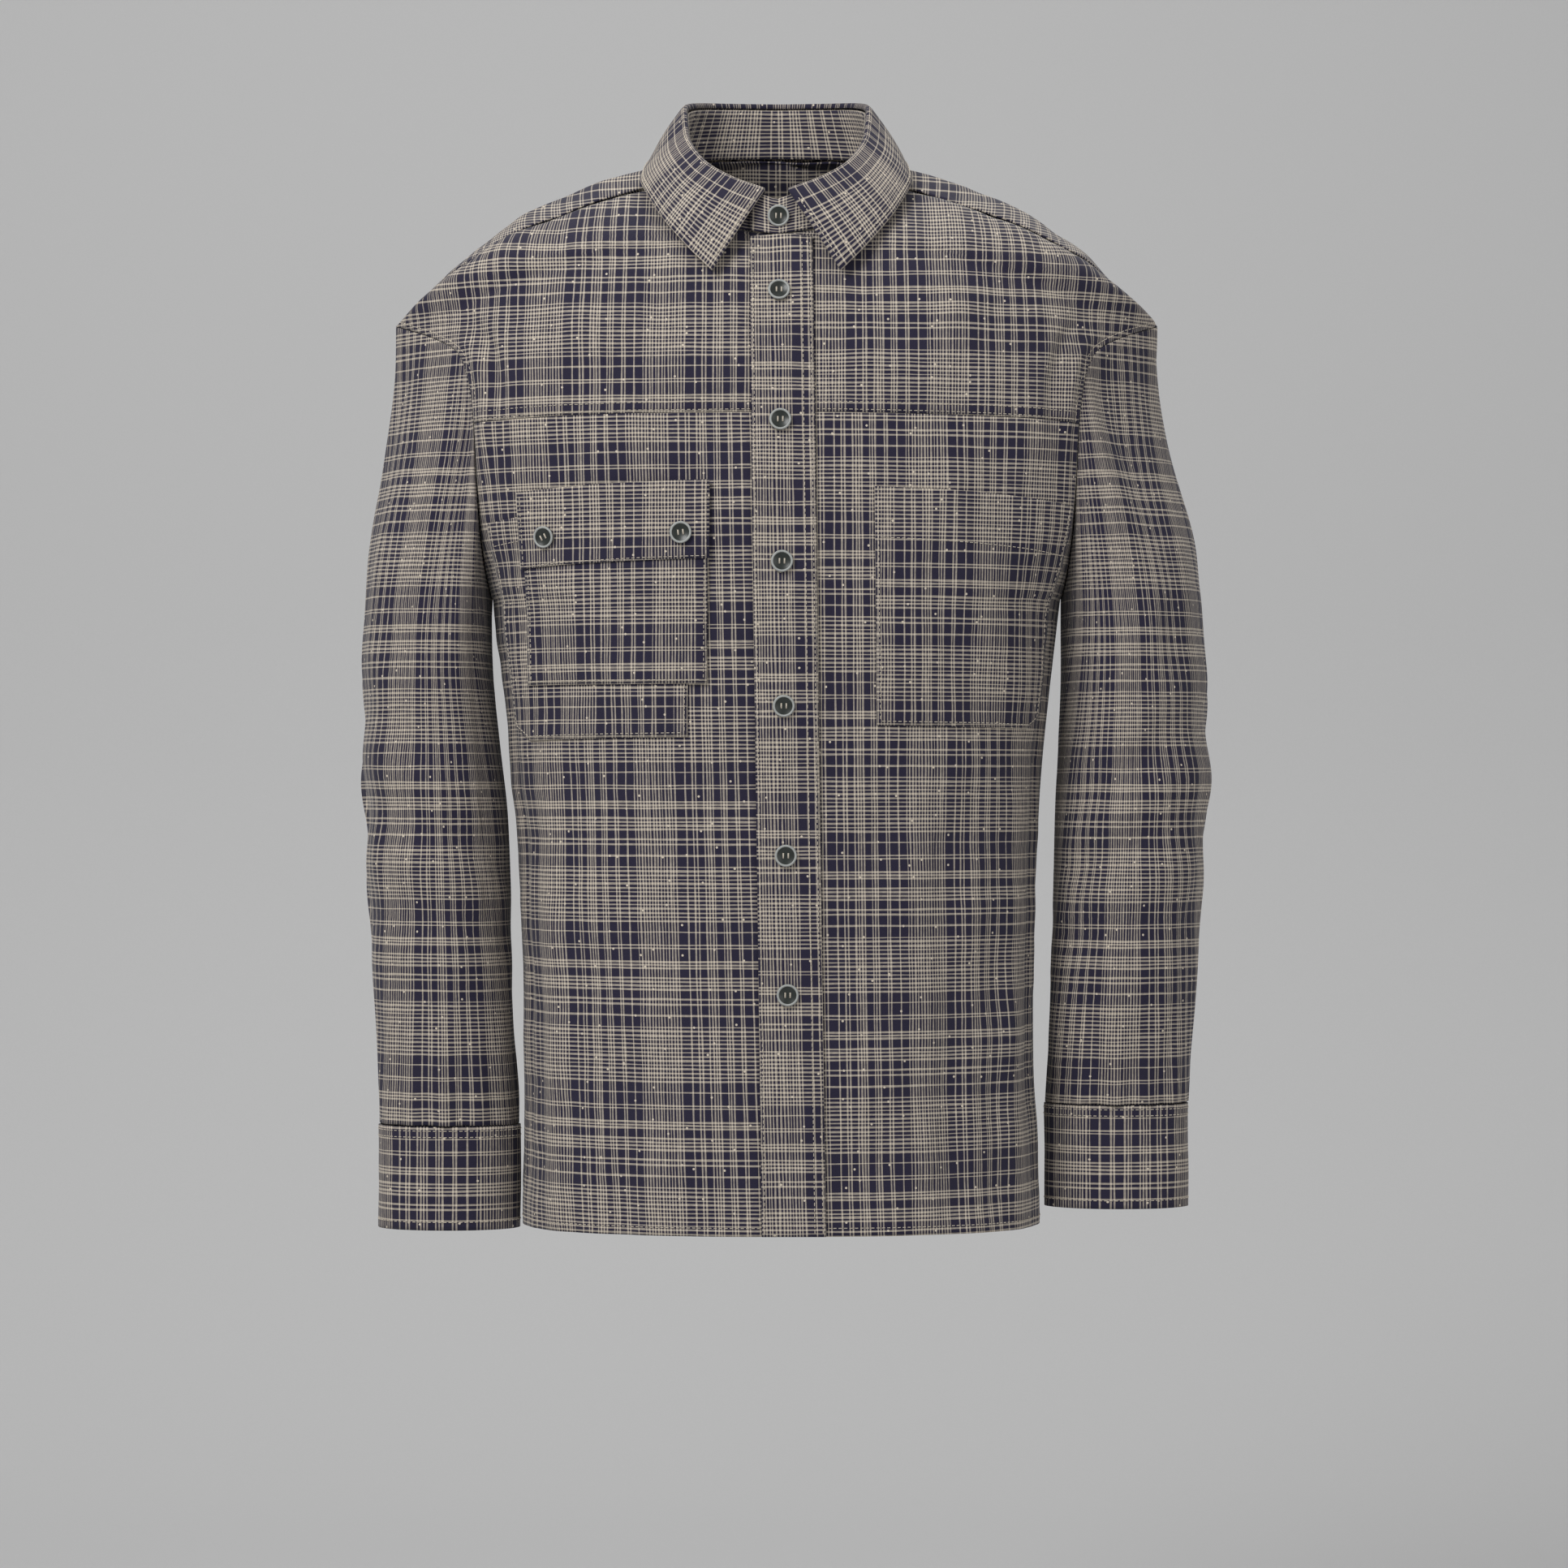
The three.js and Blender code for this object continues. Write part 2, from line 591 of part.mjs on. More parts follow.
// A sleeve point: phi round the arm as on the armhole, at from the armhole (0) to the cuff (1).
function sleevePoint(sleeve, phi, at) {
  const value = (key) => read(sleeve.sections, 'at', key, at);
  const round = phi * RAD;
  const outerZ = THREE.MathUtils.lerp(-107, sleeve.cuffTop, at);
  const innerZ = THREE.MathUtils.lerp(-300, sleeve.cuffTop, at);
  const middle = (value('outer') + value('inner')) / 2;
  const half = (value('outer') - value('inner')) / 2;
  const depth = (value('front') + value('back')) / 2;
  const centre = (value('back') - value('front')) / 2;
  const ring = new THREE.Vector3(
    middle + half * Math.cos(round),
    centre - depth * Math.sin(round),
    THREE.MathUtils.lerp(outerZ, innerZ, (1 - Math.cos(round)) / 2),
  );
  const seam = ringPoint(ARMHOLE, 'phi', phi > 345 ? phi - 360 : phi);
  seam.x += ARM_GAP * Math.abs(Math.sin(round / 2));
  seam.z -= ARM_DROP * Math.cos(round / 2) ** 4;
  const fallen = THREE.MathUtils.lerp(-107 - outerZ, -300 - innerZ, (1 - Math.cos(round)) / 2);
  seam.z -= fallen;
  const t = THREE.MathUtils.clamp(at / SLEEVE_BLEND, 0, 1);
  const blended = seam.lerp(ring, t * t * (3 - 2 * t));
  blended.x *= sleeve.side;
  return blended;
}

function cuffPoint(sleeve, phi, drop) {
  const point = sleevePoint(sleeve, phi, 1);
  point.z = THREE.MathUtils.lerp(sleeve.cuffTop, sleeve.cuffBottom, drop);
  return point;
}

// The outward direction of a surface given as a function of two values.
function normalOf(surface, p, q, dp, dq, centre) {
  const here = surface(p, q);
  const along = surface(p + dp, q).sub(here);
  const up = surface(p, q + dq).sub(here);
  const normal = along.cross(up).normalize();
  const out = here.clone().sub(centre);
  return normal.dot(out) < 0 ? normal.negate() : normal;
}

function sleeveCentre(sleeve, at) {
  return sleevePoint(sleeve, 90, at).add(sleevePoint(sleeve, 270, at)).multiplyScalar(0.5);
}

function addSleeve(name, sleeve) {
  const frontPhis = FRONT_LINES.filter((row) => row >= UNDERARM_ROW).map((row) => read(FRONT.arm, 'row', 'phi', row));
  const backPhis = BACK_LINES.filter((row) => row >= UNDERARM_ROW).map((row) => read(BACK.arm, 'row', 'phi', row));
  const stations = [...frontPhis, ...backPhis].map((phi) => (phi + 360) % 360);
  const phis = [...new Set(stations)].sort((p, q) => p - q);
  const surface = (phi, at) => sleevePoint(sleeve, phi, at);
  const last = 1 - SEAM / 500;
  const block = [];
  for (let ring = 0; ring <= SLEEVE_RINGS; ring += 1) {
    const at = last * ring / SLEEVE_RINGS;
    const row = phis.map((phi) => {
      const outer = surface(phi, at);
      const middle = sleeveCentre(sleeve, at);
      const normal = normalOf(surface, phi, at, 0.5, ring ? -0.001 : 0.001, middle);
      return { key: `${phi},${ring}`, outer, inner: outer.clone().addScaledVector(normal, -CLOTH) };
    });
    block.push([...row, row[0]]);
  }
  addPiece(name, clothWall([block]), cloth);
}

function cuffCorner(sleeve, step, drop) {
  const turned = CUFF_LAP.turn * step / CUFF_LAP.steps;
  const phi = (CUFF_LAP.start + turned) % 360;
  const surface = (p, q) => cuffPoint(sleeve, p, q);
  const point = surface(phi, drop);
  const middle = surface(90, drop).add(surface(270, drop)).multiplyScalar(0.5);
  const normal = normalOf(surface, phi, drop, 0.5, drop > 0.5 ? -0.1 : 0.1, middle);
  const lift = CUFF_LAP.lift * THREE.MathUtils.smoothstep(turned, 270, 350);
  const outer = point.clone().addScaledVector(normal, lift);
  return { key: `${step},${drop}`, outer, inner: outer.clone().addScaledVector(normal, -DOUBLE_CLOTH), normal };
}

function addCuff(name, sleeve) {
  const block = [0, 1].map((drop) => {
    const row = [];
    for (let step = 0; step <= CUFF_LAP.steps; step += 1) row.push(cuffCorner(sleeve, step, drop));
    return row;
  });
  addPiece(name, clothWall([block]), cloth);
}

// The stand, from the under end at the front, round the back, to the over end.
function standPoint(psi, up) {
  const side = psi < 0 ? -1 : 1;
  const seam = ringPoint(NECK_SEAM, 'psi', Math.abs(psi), side);
  const fold = ringPoint(COLLAR_FOLD, 'psi', Math.abs(psi), side);
  const inwards = new THREE.Vector3(-fold.x, -fold.y, 0).setLength(2.2);
  fold.add(inwards).setZ(fold.z - 3.4);
  seam.z += SEAM;
  return seam.lerp(fold, up);
}

function standCorner(psi, up, lap) {
  const size = Math.max(1, Math.min(179, Math.abs(psi)));
  const signed = psi < 0 ? -size : size;
  const middle = new THREE.Vector3(0, 0, 0);
  const normal = normalOf(standPoint, signed, up, 0.5, up > 0.5 ? -0.1 : 0.1, middle);
  if (Math.abs(psi) < 1 || Math.abs(psi) > 179) normal.setX(0).normalize();
  const outer = standPoint(psi, up).addScaledVector(normal, lap);
  const inner = outer.clone().addScaledVector(normal, -CLOTH);
  return { outer, inner, normal };
}

const STAND_LAP = 2.6;

function addStand() {
  const backwards = [-25, -50, -75, -100, -125, -150, 180];
  const forwards = [150, 125, 100, 75, 50];
  const stations = [{ psi: 13, lap: 0 }, { psi: 0, lap: 0 }];
  [...backwards, ...forwards].forEach((psi) => stations.push({ psi, lap: 0 }));
  stations.push({ psi: 25, lap: STAND_LAP * 0.6 });
  stations.push({ psi: 12, lap: STAND_LAP });
  stations.push({ psi: 0, lap: STAND_LAP });
  stations.push({ psi: -14, lap: STAND_LAP });
  const block = [0, 1].map((up) => stations.map(({ psi, lap }, i) => {
    return { key: `${i},${up}`, ...standCorner(psi, up, lap) };
  }));
  addPiece('collar_stand', clothWall([block]), cloth);
}

// The leaf: rolls over the fold and falls to its edge.
const LEAF_ROLL = [
  { out: -2.3, up: -2.5 },
  { out: -1.2, up: 0.7 },
  { out: 1, up: 1.2 },
  { out: 2.8, up: -0.6 },
];
const LEAF_FALL = [0.2, 0.5, 0.78, 1];

function addLeaf() {
  const stations = [-6, -25, -50, -75, -100, -125, -150, 180, 150, 125, 100, 75, 50, 25, 6];
  const grid = stations.map((psi) => {
    const side = psi < 0 ? -1 : 1;
    const fold = ringPoint(COLLAR_FOLD, 'psi', Math.abs(psi), side);
    const edge = ringPoint(LEAF_EDGE, 'psi', Math.abs(psi), side);
    const out = new THREE.Vector3(fold.x, fold.y, 0).normalize();
    const start = fold.clone().addScaledVector(out, 2.8).setZ(fold.z - 0.6);
    const points = LEAF_ROLL.map((step) => {
      return fold.clone().addScaledVector(out, step.out).setZ(fold.z + step.up);
    });
    for (const fall of LEAF_FALL) {
      const point = start.clone().lerp(edge, fall);
      point.addScaledVector(out, 2.5 * Math.sin(Math.PI * fall));
      points.push(point);
    }
    return points;
  });
  const last = grid.length - 1;
  const block = grid.map((line, i) => line.map((outer, j) => {
    const along = grid[Math.min(last, i + 1)][j].clone().sub(grid[Math.max(0, i - 1)][j]);
    const down = line[Math.min(line.length - 1, j + 1)].clone().sub(line[Math.max(0, j - 1)]);
    const normal = down.cross(along).normalize();
    return { key: `${i},${j}`, outer, inner: outer.clone().addScaledVector(normal, -CLOTH) };
  }));
  addPiece('collar_leaf', clothWall([block]), cloth);
}

// A four-hole button, its back on z = 0.
async function buttonGeometry() {
  const wasm = await Module();
  wasm.setup();
  const { radius, height, rim, dish, hole, spread, sides } = BUTTON;
  const profile = [
    [0, 0], [radius - 1.2, 0], [radius, 1], [radius, height - 0.5], [radius - 0.5, height],
    [radius - rim, height], [radius - rim - 0.6, height - dish], [0, height - dish],
  ].map(([r, z]) => new THREE.Vector2(r, z));
  const solid = (geometry) => {
    geometry.deleteAttribute('normal');
    geometry.deleteAttribute('uv');
    const merged = mergeVertices(geometry, 1e-4);
    const triVerts = new Uint32Array(merged.index.array);
    const vertProperties = new Float32Array(merged.attributes.position.array);
    return new wasm.Manifold(new wasm.Mesh({ numProp: 3, vertProperties, triVerts }));
  };
  const disc = new THREE.LatheGeometry(profile, sides);
  disc.rotateX(Math.PI / 2);
  let body = solid(disc);
  for (const turn of [45, 135, 225, 315]) {
    const drill = new THREE.CylinderGeometry(hole, hole, height * 3, 6);
    drill.rotateX(Math.PI / 2);
    drill.translate(spread * Math.SQRT2 * Math.cos(turn * RAD), spread * Math.SQRT2 * Math.sin(turn * RAD), 0);
    body = body.subtract(solid(drill));
  }
  const mesh = body.getMesh();
  const geometry = new THREE.BufferGeometry();
  geometry.setAttribute('position', new THREE.BufferAttribute(mesh.vertProperties, 3));
  geometry.setIndex(new THREE.BufferAttribute(mesh.triVerts, 1));
  return geometry;
}

function placeButton(name, geometry, seat, normal, gap = SEAM) {
  const button = addPiece(name, geometry, horn);
  button.position.copy(seat).addScaledVector(normal, gap);
  button.quaternion.setFromUnitVectors(new THREE.Vector3(0, 0, 1), normal);
}

function addButtons(geometry) {
  const lift = LIE + DOUBLE_CLOTH;
  const stand = standCorner(1, 0.5, STAND_LAP);
  placeButton('button_stand', geometry, stand.outer, stand.normal, SEAM * 1.5);
  BUTTON_HEIGHTS.forEach((height, i) => {
    const row = front.find(1, height).row;
    const u = front.across(stripX(1, row), row);
    const seat = front.at(u, row, lift);
    const normal = front.at(u, row, lift + 1).sub(seat).normalize();
    placeButton(`button_${i + 1}`, geometry, seat, normal);
  });
  const flap = LIE + 2 * (CLOTH + LIE) + CLOTH;
  FLAP_BUTTONS.forEach(([x, z], i) => {
    const { u, row } = front.find(x, z);
    const seat = front.at(u, row, flap);
    const normal = front.at(u, row, flap + 1).sub(seat).normalize();
    placeButton(`flap_button_${i + 1}`, geometry, seat, normal, SEAM * 1.5);
  });
  for (const [name, sleeve] of [['cuff_button_right', SLEEVE_RIGHT], ['cuff_button_left', SLEEVE_LEFT]]) {
    const seat = cuffCorner(sleeve, CUFF_LAP.steps - 0.75, 0.5);
    placeButton(name, geometry, seat.outer, seat.normal, SEAM * 2);
  }
}

addFronts();
addBack();
addStrip();
POCKETS.forEach(addPocket);
addSleeve('sleeve_right', SLEEVE_RIGHT);
addSleeve('sleeve_left', SLEEVE_LEFT);
addCuff('cuff_right', SLEEVE_RIGHT);
addCuff('cuff_left', SLEEVE_LEFT);
addStand();
addLeaf();
addButtons(await buttonGeometry());

export default shirt;
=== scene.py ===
"""A checked linen shirt in its worn shape: cloth panels, collar, pockets, stitching and buttons."""
import logging
import math
from collections.abc import Callable, Sequence
from dataclasses import dataclass, field
from enum import Enum
from functools import lru_cache

import bmesh
import bpy
from mathutils import Matrix, Vector, noise


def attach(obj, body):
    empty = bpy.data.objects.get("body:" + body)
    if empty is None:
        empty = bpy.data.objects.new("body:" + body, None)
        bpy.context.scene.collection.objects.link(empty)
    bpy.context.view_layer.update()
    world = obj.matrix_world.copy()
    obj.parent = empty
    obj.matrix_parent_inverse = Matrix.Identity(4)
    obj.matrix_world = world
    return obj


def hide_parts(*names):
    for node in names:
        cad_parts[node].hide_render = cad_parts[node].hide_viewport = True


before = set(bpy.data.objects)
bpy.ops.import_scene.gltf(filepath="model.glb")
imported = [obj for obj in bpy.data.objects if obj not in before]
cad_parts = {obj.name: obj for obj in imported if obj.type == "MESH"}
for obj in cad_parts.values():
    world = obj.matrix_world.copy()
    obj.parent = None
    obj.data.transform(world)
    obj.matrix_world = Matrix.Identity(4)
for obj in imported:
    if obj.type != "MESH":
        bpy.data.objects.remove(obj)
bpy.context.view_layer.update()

MM = 0.001
LOG = logging.getLogger("shirt")

FLAT = 0.85
HEM_Z, HEM_SHIFT, SHIFT_TOP = -738.0, 3.0, -300.0
UNDERARM_ROW, CHEST_ROW, YOKE_ROW, NECK_ROW = 7.0, 11.0, 12.0, 15.0
CLOTH_MM, DOUBLE_MM, GAP_MM = 1.0, 1.6, 0.35
CELL_MM = 3.2
EPSILON = 1e-6
LONGEST_CELL = 0.016
STRIP_LEFT, STRIP_RIGHT, STRIP_DRIFT, STRIP_JOIN = -18.5, 24.5, 9.0, 17.0
STRIP_LIFT = 0.9
STITCH_LIFT = 0.1
SLEEVE_OUTER_Z, SLEEVE_INNER_Z = -107.0, -300.0
FRONT_TOP_ROW, YOKE_TOP_ROW = 18.0, 18.9
SEAM_ROWS = 0.005
HEM_STITCH_ROW = 0.12
CUFF_TURN, CUFF_START, CUFF_LIFT = 385.0, 285.0, 2.6
LEAF_ROLL_SHARE = 0.16
BUTTON_HEIGHTS = (-94, -183, -279.5, -377, -478.5, -573)

Row = tuple[float, ...]


@dataclass(frozen=True)
class Table:
    """Rows of named columns, read smoothly between rows; the first column is the station."""

    columns: str
    rows: tuple[Row, ...]

    def slope(self, column: int, j: int) -> float:
        """Return the slope of a column at row j, flat where the column turns."""
        def rise(k: int) -> float:
            low, high = self.rows[k], self.rows[k + 1]
            return (high[column] - low[column]) / (high[0] - low[0])
        if j == 0:
            return rise(0)
        if j == len(self.rows) - 1:
            return rise(j - 1)
        before, after = rise(j - 1), rise(j)
        return 2 * before * after / (before + after) if before * after > 0 else 0.0

    @lru_cache(maxsize=200000)
    def read(self, name: str, at: float) -> float:
        """Return the named column at a station.

        Args:
            name: A column's name.
            at: The station.

        Returns:
            The column's value there.
        """
        column = self.columns.split().index(name)
        i = 0
        while i < len(self.rows) - 2 and at > self.rows[i + 1][0]:
            i += 1
        low, high = self.rows[i], self.rows[i + 1]
        span = high[0] - low[0]
        t = min(1.0, max(0.0, (at - low[0]) / span))
        bend = t * t * (3 - 2 * t)
        leaving, arriving = self.slope(column, i), self.slope(column, i + 1)
        ease = t * (1 - t) ** 2 * leaving + t * t * (t - 1) * arriving
        return low[column] + (high[column] - low[column]) * bend + span * ease

    def point(self, at: float, side: float = 1.0) -> Vector:
        """Return the x, y, z columns as a point, mirrored for a negative side."""
        return Vector((side * self.read("x", at), self.read("y", at), self.read("z", at)))


SIDE_SEAM = Table("row half z", (
    (0, 181.5, HEM_Z), (1, 180.5, -690), (2, 179.5, -622), (3, 180, -545), (4, 183.5, -465),
    (5, 188, -405), (6, 194, -350), (7, 200, -300)))
ARMHOLE = Table("phi x y z", (
    (-15, 266, 22, -108), (0, 269, 4, -107), (20, 256, -17, -112), (40, 237, -37, -120),
    (60, 221, -53, -131), (80, 213, -61, -151), (100, 209, -64, -181), (120, 207, -62, -222),
    (140, 205, -52, -258), (160, 202, -30, -287), (180, 200, 0, -300), (200, 203, 32, -286),
    (220, 207, 55, -255), (240, 210, 66, -215), (260, 213, 69, -178), (280, 217, 66, -148),
    (300, 227, 57, -128), (320, 244, 43, -116), (345, 266, 22, -108)))
NECK_SEAM = Table("psi x y z", (
    (0, 0, -74, -52), (25, 31, -69, -46), (50, 57, -52, -30), (75, 73, -27, -10),
    (100, 76, 0, 4), (125, 66, 28, 12), (150, 40, 50, 17), (180, 0, 60, 19)))
COLLAR_FOLD = Table("psi x y z", (
    (0, 0, -68, -23), (6, 8, -67, -20), (25, 30, -60, -11), (50, 52, -43, 5), (75, 63, -17, 26),
    (100, 65, 9, 48), (125, 56, 35, 55), (150, 34, 56, 58), (180, 0, 65, 59)))
LEAF_EDGE = Table("psi x y z", (
    (6, 44, -97, -79), (25, 64, -86, -58), (50, 84, -62, -31), (75, 95, -30, -7),
    (100, 91, 4, 7), (125, 75, 43, 16), (150, 43, 69, 15), (180, 0, 80, 12)))


@dataclass(frozen=True)
class Fold:
    """A soft fold on the body: u across, rows up, half-width, and height (down if negative)."""

    u: float
    spread: float
    low: float
    high: float
    height: float
    lean: float = 0.0


def bump(t: float) -> float:
    """Return a soft hump over -1 to 1."""
    return 0.0 if abs(t) >= 1 else (1 + math.cos(math.pi * t)) / 2


def lerp(a: float, b: float, t: float) -> float:
    """Return the value a part t of the way from a to b."""
    return a + (b - a) * t


def smooth(low: float, high: float, value: float) -> float:
    """Return 0 below low and 1 above high, with a soft step between."""
    t = min(1.0, max(0.0, (value - low) / (high - low)))
    return t * t * (3 - 2 * t)


@dataclass(frozen=True)
class Side:
    """The front or the back of the body as a surface over u (-1 to 1) and row (hem up)."""

    outward: float
    middle: Table
    shape: Table
    arm: Table
    neck: Table
    folds: tuple[Fold, ...]
    seed: float

    def bare(self, u: float, row: float) -> Vector:
        """Return the unfolded point in millimetres."""
        side = -1.0 if u < 0 else 1.0
        if row <= NECK_ROW:
            inner = Vector((0, self.middle.read("y", row), self.middle.read("z", row)))
        else:
            inner = NECK_SEAM.point(self.neck.read("psi", row))
        if row <= UNDERARM_ROW:
            outer = Vector((SIDE_SEAM.read("half", row), 0, SIDE_SEAM.read("z", row)))
        else:
            outer = ARMHOLE.point(self.arm.read("phi", row))
        turn = math.radians(self.shape.read("turn", row))
        straight = self.shape.read("straight", row)
        angle = abs(u) * turn
        across = (math.sin(angle) / math.sin(turn)) ** FLAT
        away = (1 - max(0.0, math.cos(angle)) ** FLAT) / (1 - max(0.0, math.cos(turn)) ** FLAT)
        fall = straight * across + (1 - straight) * (1 - math.cos(angle)) / (1 - math.cos(turn))
        arch = math.sin(math.pi * abs(u) ** 1.3) * self.shape.read("bow", row)
        z = lerp(inner.z, outer.z, fall)
        sink = min(1.0, max(0.0, (SHIFT_TOP - z) / (SHIFT_TOP - HEM_Z)))
        x = side * lerp(inner.x, outer.x, across) + HEM_SHIFT * sink * sink
        return Vector((x, lerp(inner.y, outer.y, away) + self.outward * arch, z))

    def normal(self, u: float, row: float) -> Vector:
        """Return the outward direction."""
        du = -0.01 if u > 0.5 or -0.5 < u < 0 else 0.01
        dr = -0.05 if row > 9 else 0.05
        here = self.bare(u, row)
        along = (self.bare(u + du, row) - here) * math.copysign(1, du)
        up = (self.bare(u, row + dr) - here) * math.copysign(1, dr)
        return (along.cross(up) * -self.outward).normalized()

    def point(self, u: float, row: float, lift: float = 0.0) -> Vector:
        """Return the draped cloth's point, raised by lift millimetres."""
        height = lift
        for fold in self.folds:
            centre = fold.u + fold.lean * (row - fold.low)
            middle, reach = (fold.low + fold.high) / 2, (fold.high - fold.low) / 2
            height += fold.height * bump((u - centre) / fold.spread) * bump((row - middle) / reach)
        base = self.bare(u, row)
        edge = smooth(0.0, 0.04, 1 - abs(u))
        crumple = noise.noise(Vector((base.x / 34, base.z / 55, self.seed)))
        fine = noise.noise(Vector((base.x / 13, base.z / 17, self.seed + 9)))
        height += (2.6 * crumple + 0.6 * fine) * edge
        return base + self.normal(u, row) * height

    def across(self, x: float, row: float) -> float:
        """Return the u at which a row passes x."""
        low, high = -1.0, 1.0
        for _ in range(24):
            middle = (low + high) / 2
            if self.bare(middle, row).x < x:
                low = middle
            else:
                high = middle
        return (low + high) / 2

    def row_at(self, x: float, z: float) -> float:
        """Return the row that passes the point at x and z."""
        low, high = 0.0, NECK_ROW
        for _ in range(24):
            middle = (low + high) / 2
            if self.bare(self.across(x, middle), middle).z < z:
                low = middle
            else:
                high = middle
        return (low + high) / 2


FRONT = Side(
    -1.0,
    Table("row y z", (
        (0, -127, -736), (1, -125, -688), (2, -122, -620), (3, -120, -541), (4, -120, -461),
        (5, -122, -401), (6, -124, -351), (7, -124.5, -310), (8, -123, -278), (9, -121, -245),
        (10, -118, -212), (11, -113, -177), (12, -108, -145), (13, -100, -112), (14, -89, -81),
        (15, -74, -52))),
    Table("row turn bow straight", (
        (0, 90, 0, 0.2), (7, 90, 0, 0.2), (9, 76, 0, 0.2), (11, 62, 2, 0.25), (13, 55, 5, 0.25),
        (15, 55, 12, 0.3), (17, 60, 22, 0.4), (18, 62, 30, 0.5))),
    Table("row phi", (
        (7, 180), (8, 160), (9, 140), (10, 120), (11, 100), (12, 80), (13, 62), (14, 46),
        (15, 30), (16, 15), (17, 0), (18, -15))),
    Table("row psi", ((15, 0), (16, 25), (17, 50), (18, 75))),
    (
        Fold(-0.62, 0.1, -2, 6.5, 4), Fold(-0.36, 0.08, -2, 4, -3), Fold(0.42, 0.09, -2, 5, -3),
        Fold(0.68, 0.1, -2, 6, 4), Fold(-0.82, 0.07, -2, 9, -3), Fold(0.84, 0.07, -2, 9, -3),
        Fold(-0.93, 0.05, 9, 15, 3), Fold(0.93, 0.05, 9, 15, 3), Fold(-0.84, 0.05, 10, 15, -3),
        Fold(0.83, 0.05, 10, 15, -3), Fold(-0.5, 0.12, 11.5, 15.5, 2.5), Fold(0.45, 0.1, 12, 15, 2),
        Fold(-0.25, 0.07, 12, 15, -1.6), Fold(0.25, 0.07, 11, 14, -1.4),
    ),
    3.1,
)
BACK = Side(
    1.0,
    Table("row y z", (
        (0, 119, -738), (1, 117, -690), (2, 112, -622), (3, 108, -545), (4, 108, -463),
        (5, 112, -402), (6, 116, -350), (7, 119, -302), (8, 120, -262), (9, 119, -220),
        (10, 116, -178), (11, 111, -135), (12, 103, -92), (13, 90, -50), (14, 75, -12),
        (15, 60, 19))),
    Table("row turn bow straight", (
        (0, 90, 0, 0.2), (7, 90, 0, 0.2), (9, 78, 0, 0.2), (12, 64, 0, 0.25), (15, 60, 6, 0.3),
        (17, 62, 12, 0.25), (18, 62, 6, 0.22), (19, 62, -30, 0.5))),
    Table("row phi", (
        (7, 180), (8, 200), (9, 220), (10, 240), (11, 260), (12, 280), (13, 298), (14, 312),
        (15, 322), (16, 329), (17, 335), (18, 340), (19, 345))),
    Table("row psi", ((15, 180), (16, 150), (17, 125), (18, 100), (19, 75))),
    (
        Fold(-0.55, 0.12, -2, 9, 6), Fold(-0.2, 0.12, -2, 7, -5), Fold(0.25, 0.12, -2, 8, -5),
        Fold(0.6, 0.12, -2, 9, 6), Fold(0.02, 0.1, -2, 6, 4), Fold(-0.8, 0.07, -2, 10, -4),
        Fold(0.82, 0.07, -2, 10, -4), Fold(-0.72, 0.08, 5, 12, 4), Fold(0.74, 0.08, 5, 12, 4),
        Fold(-0.4, 0.08, 7, 13, -2.5), Fold(0.38, 0.08, 7, 13, -2.5),
    ),
    7.7,
)


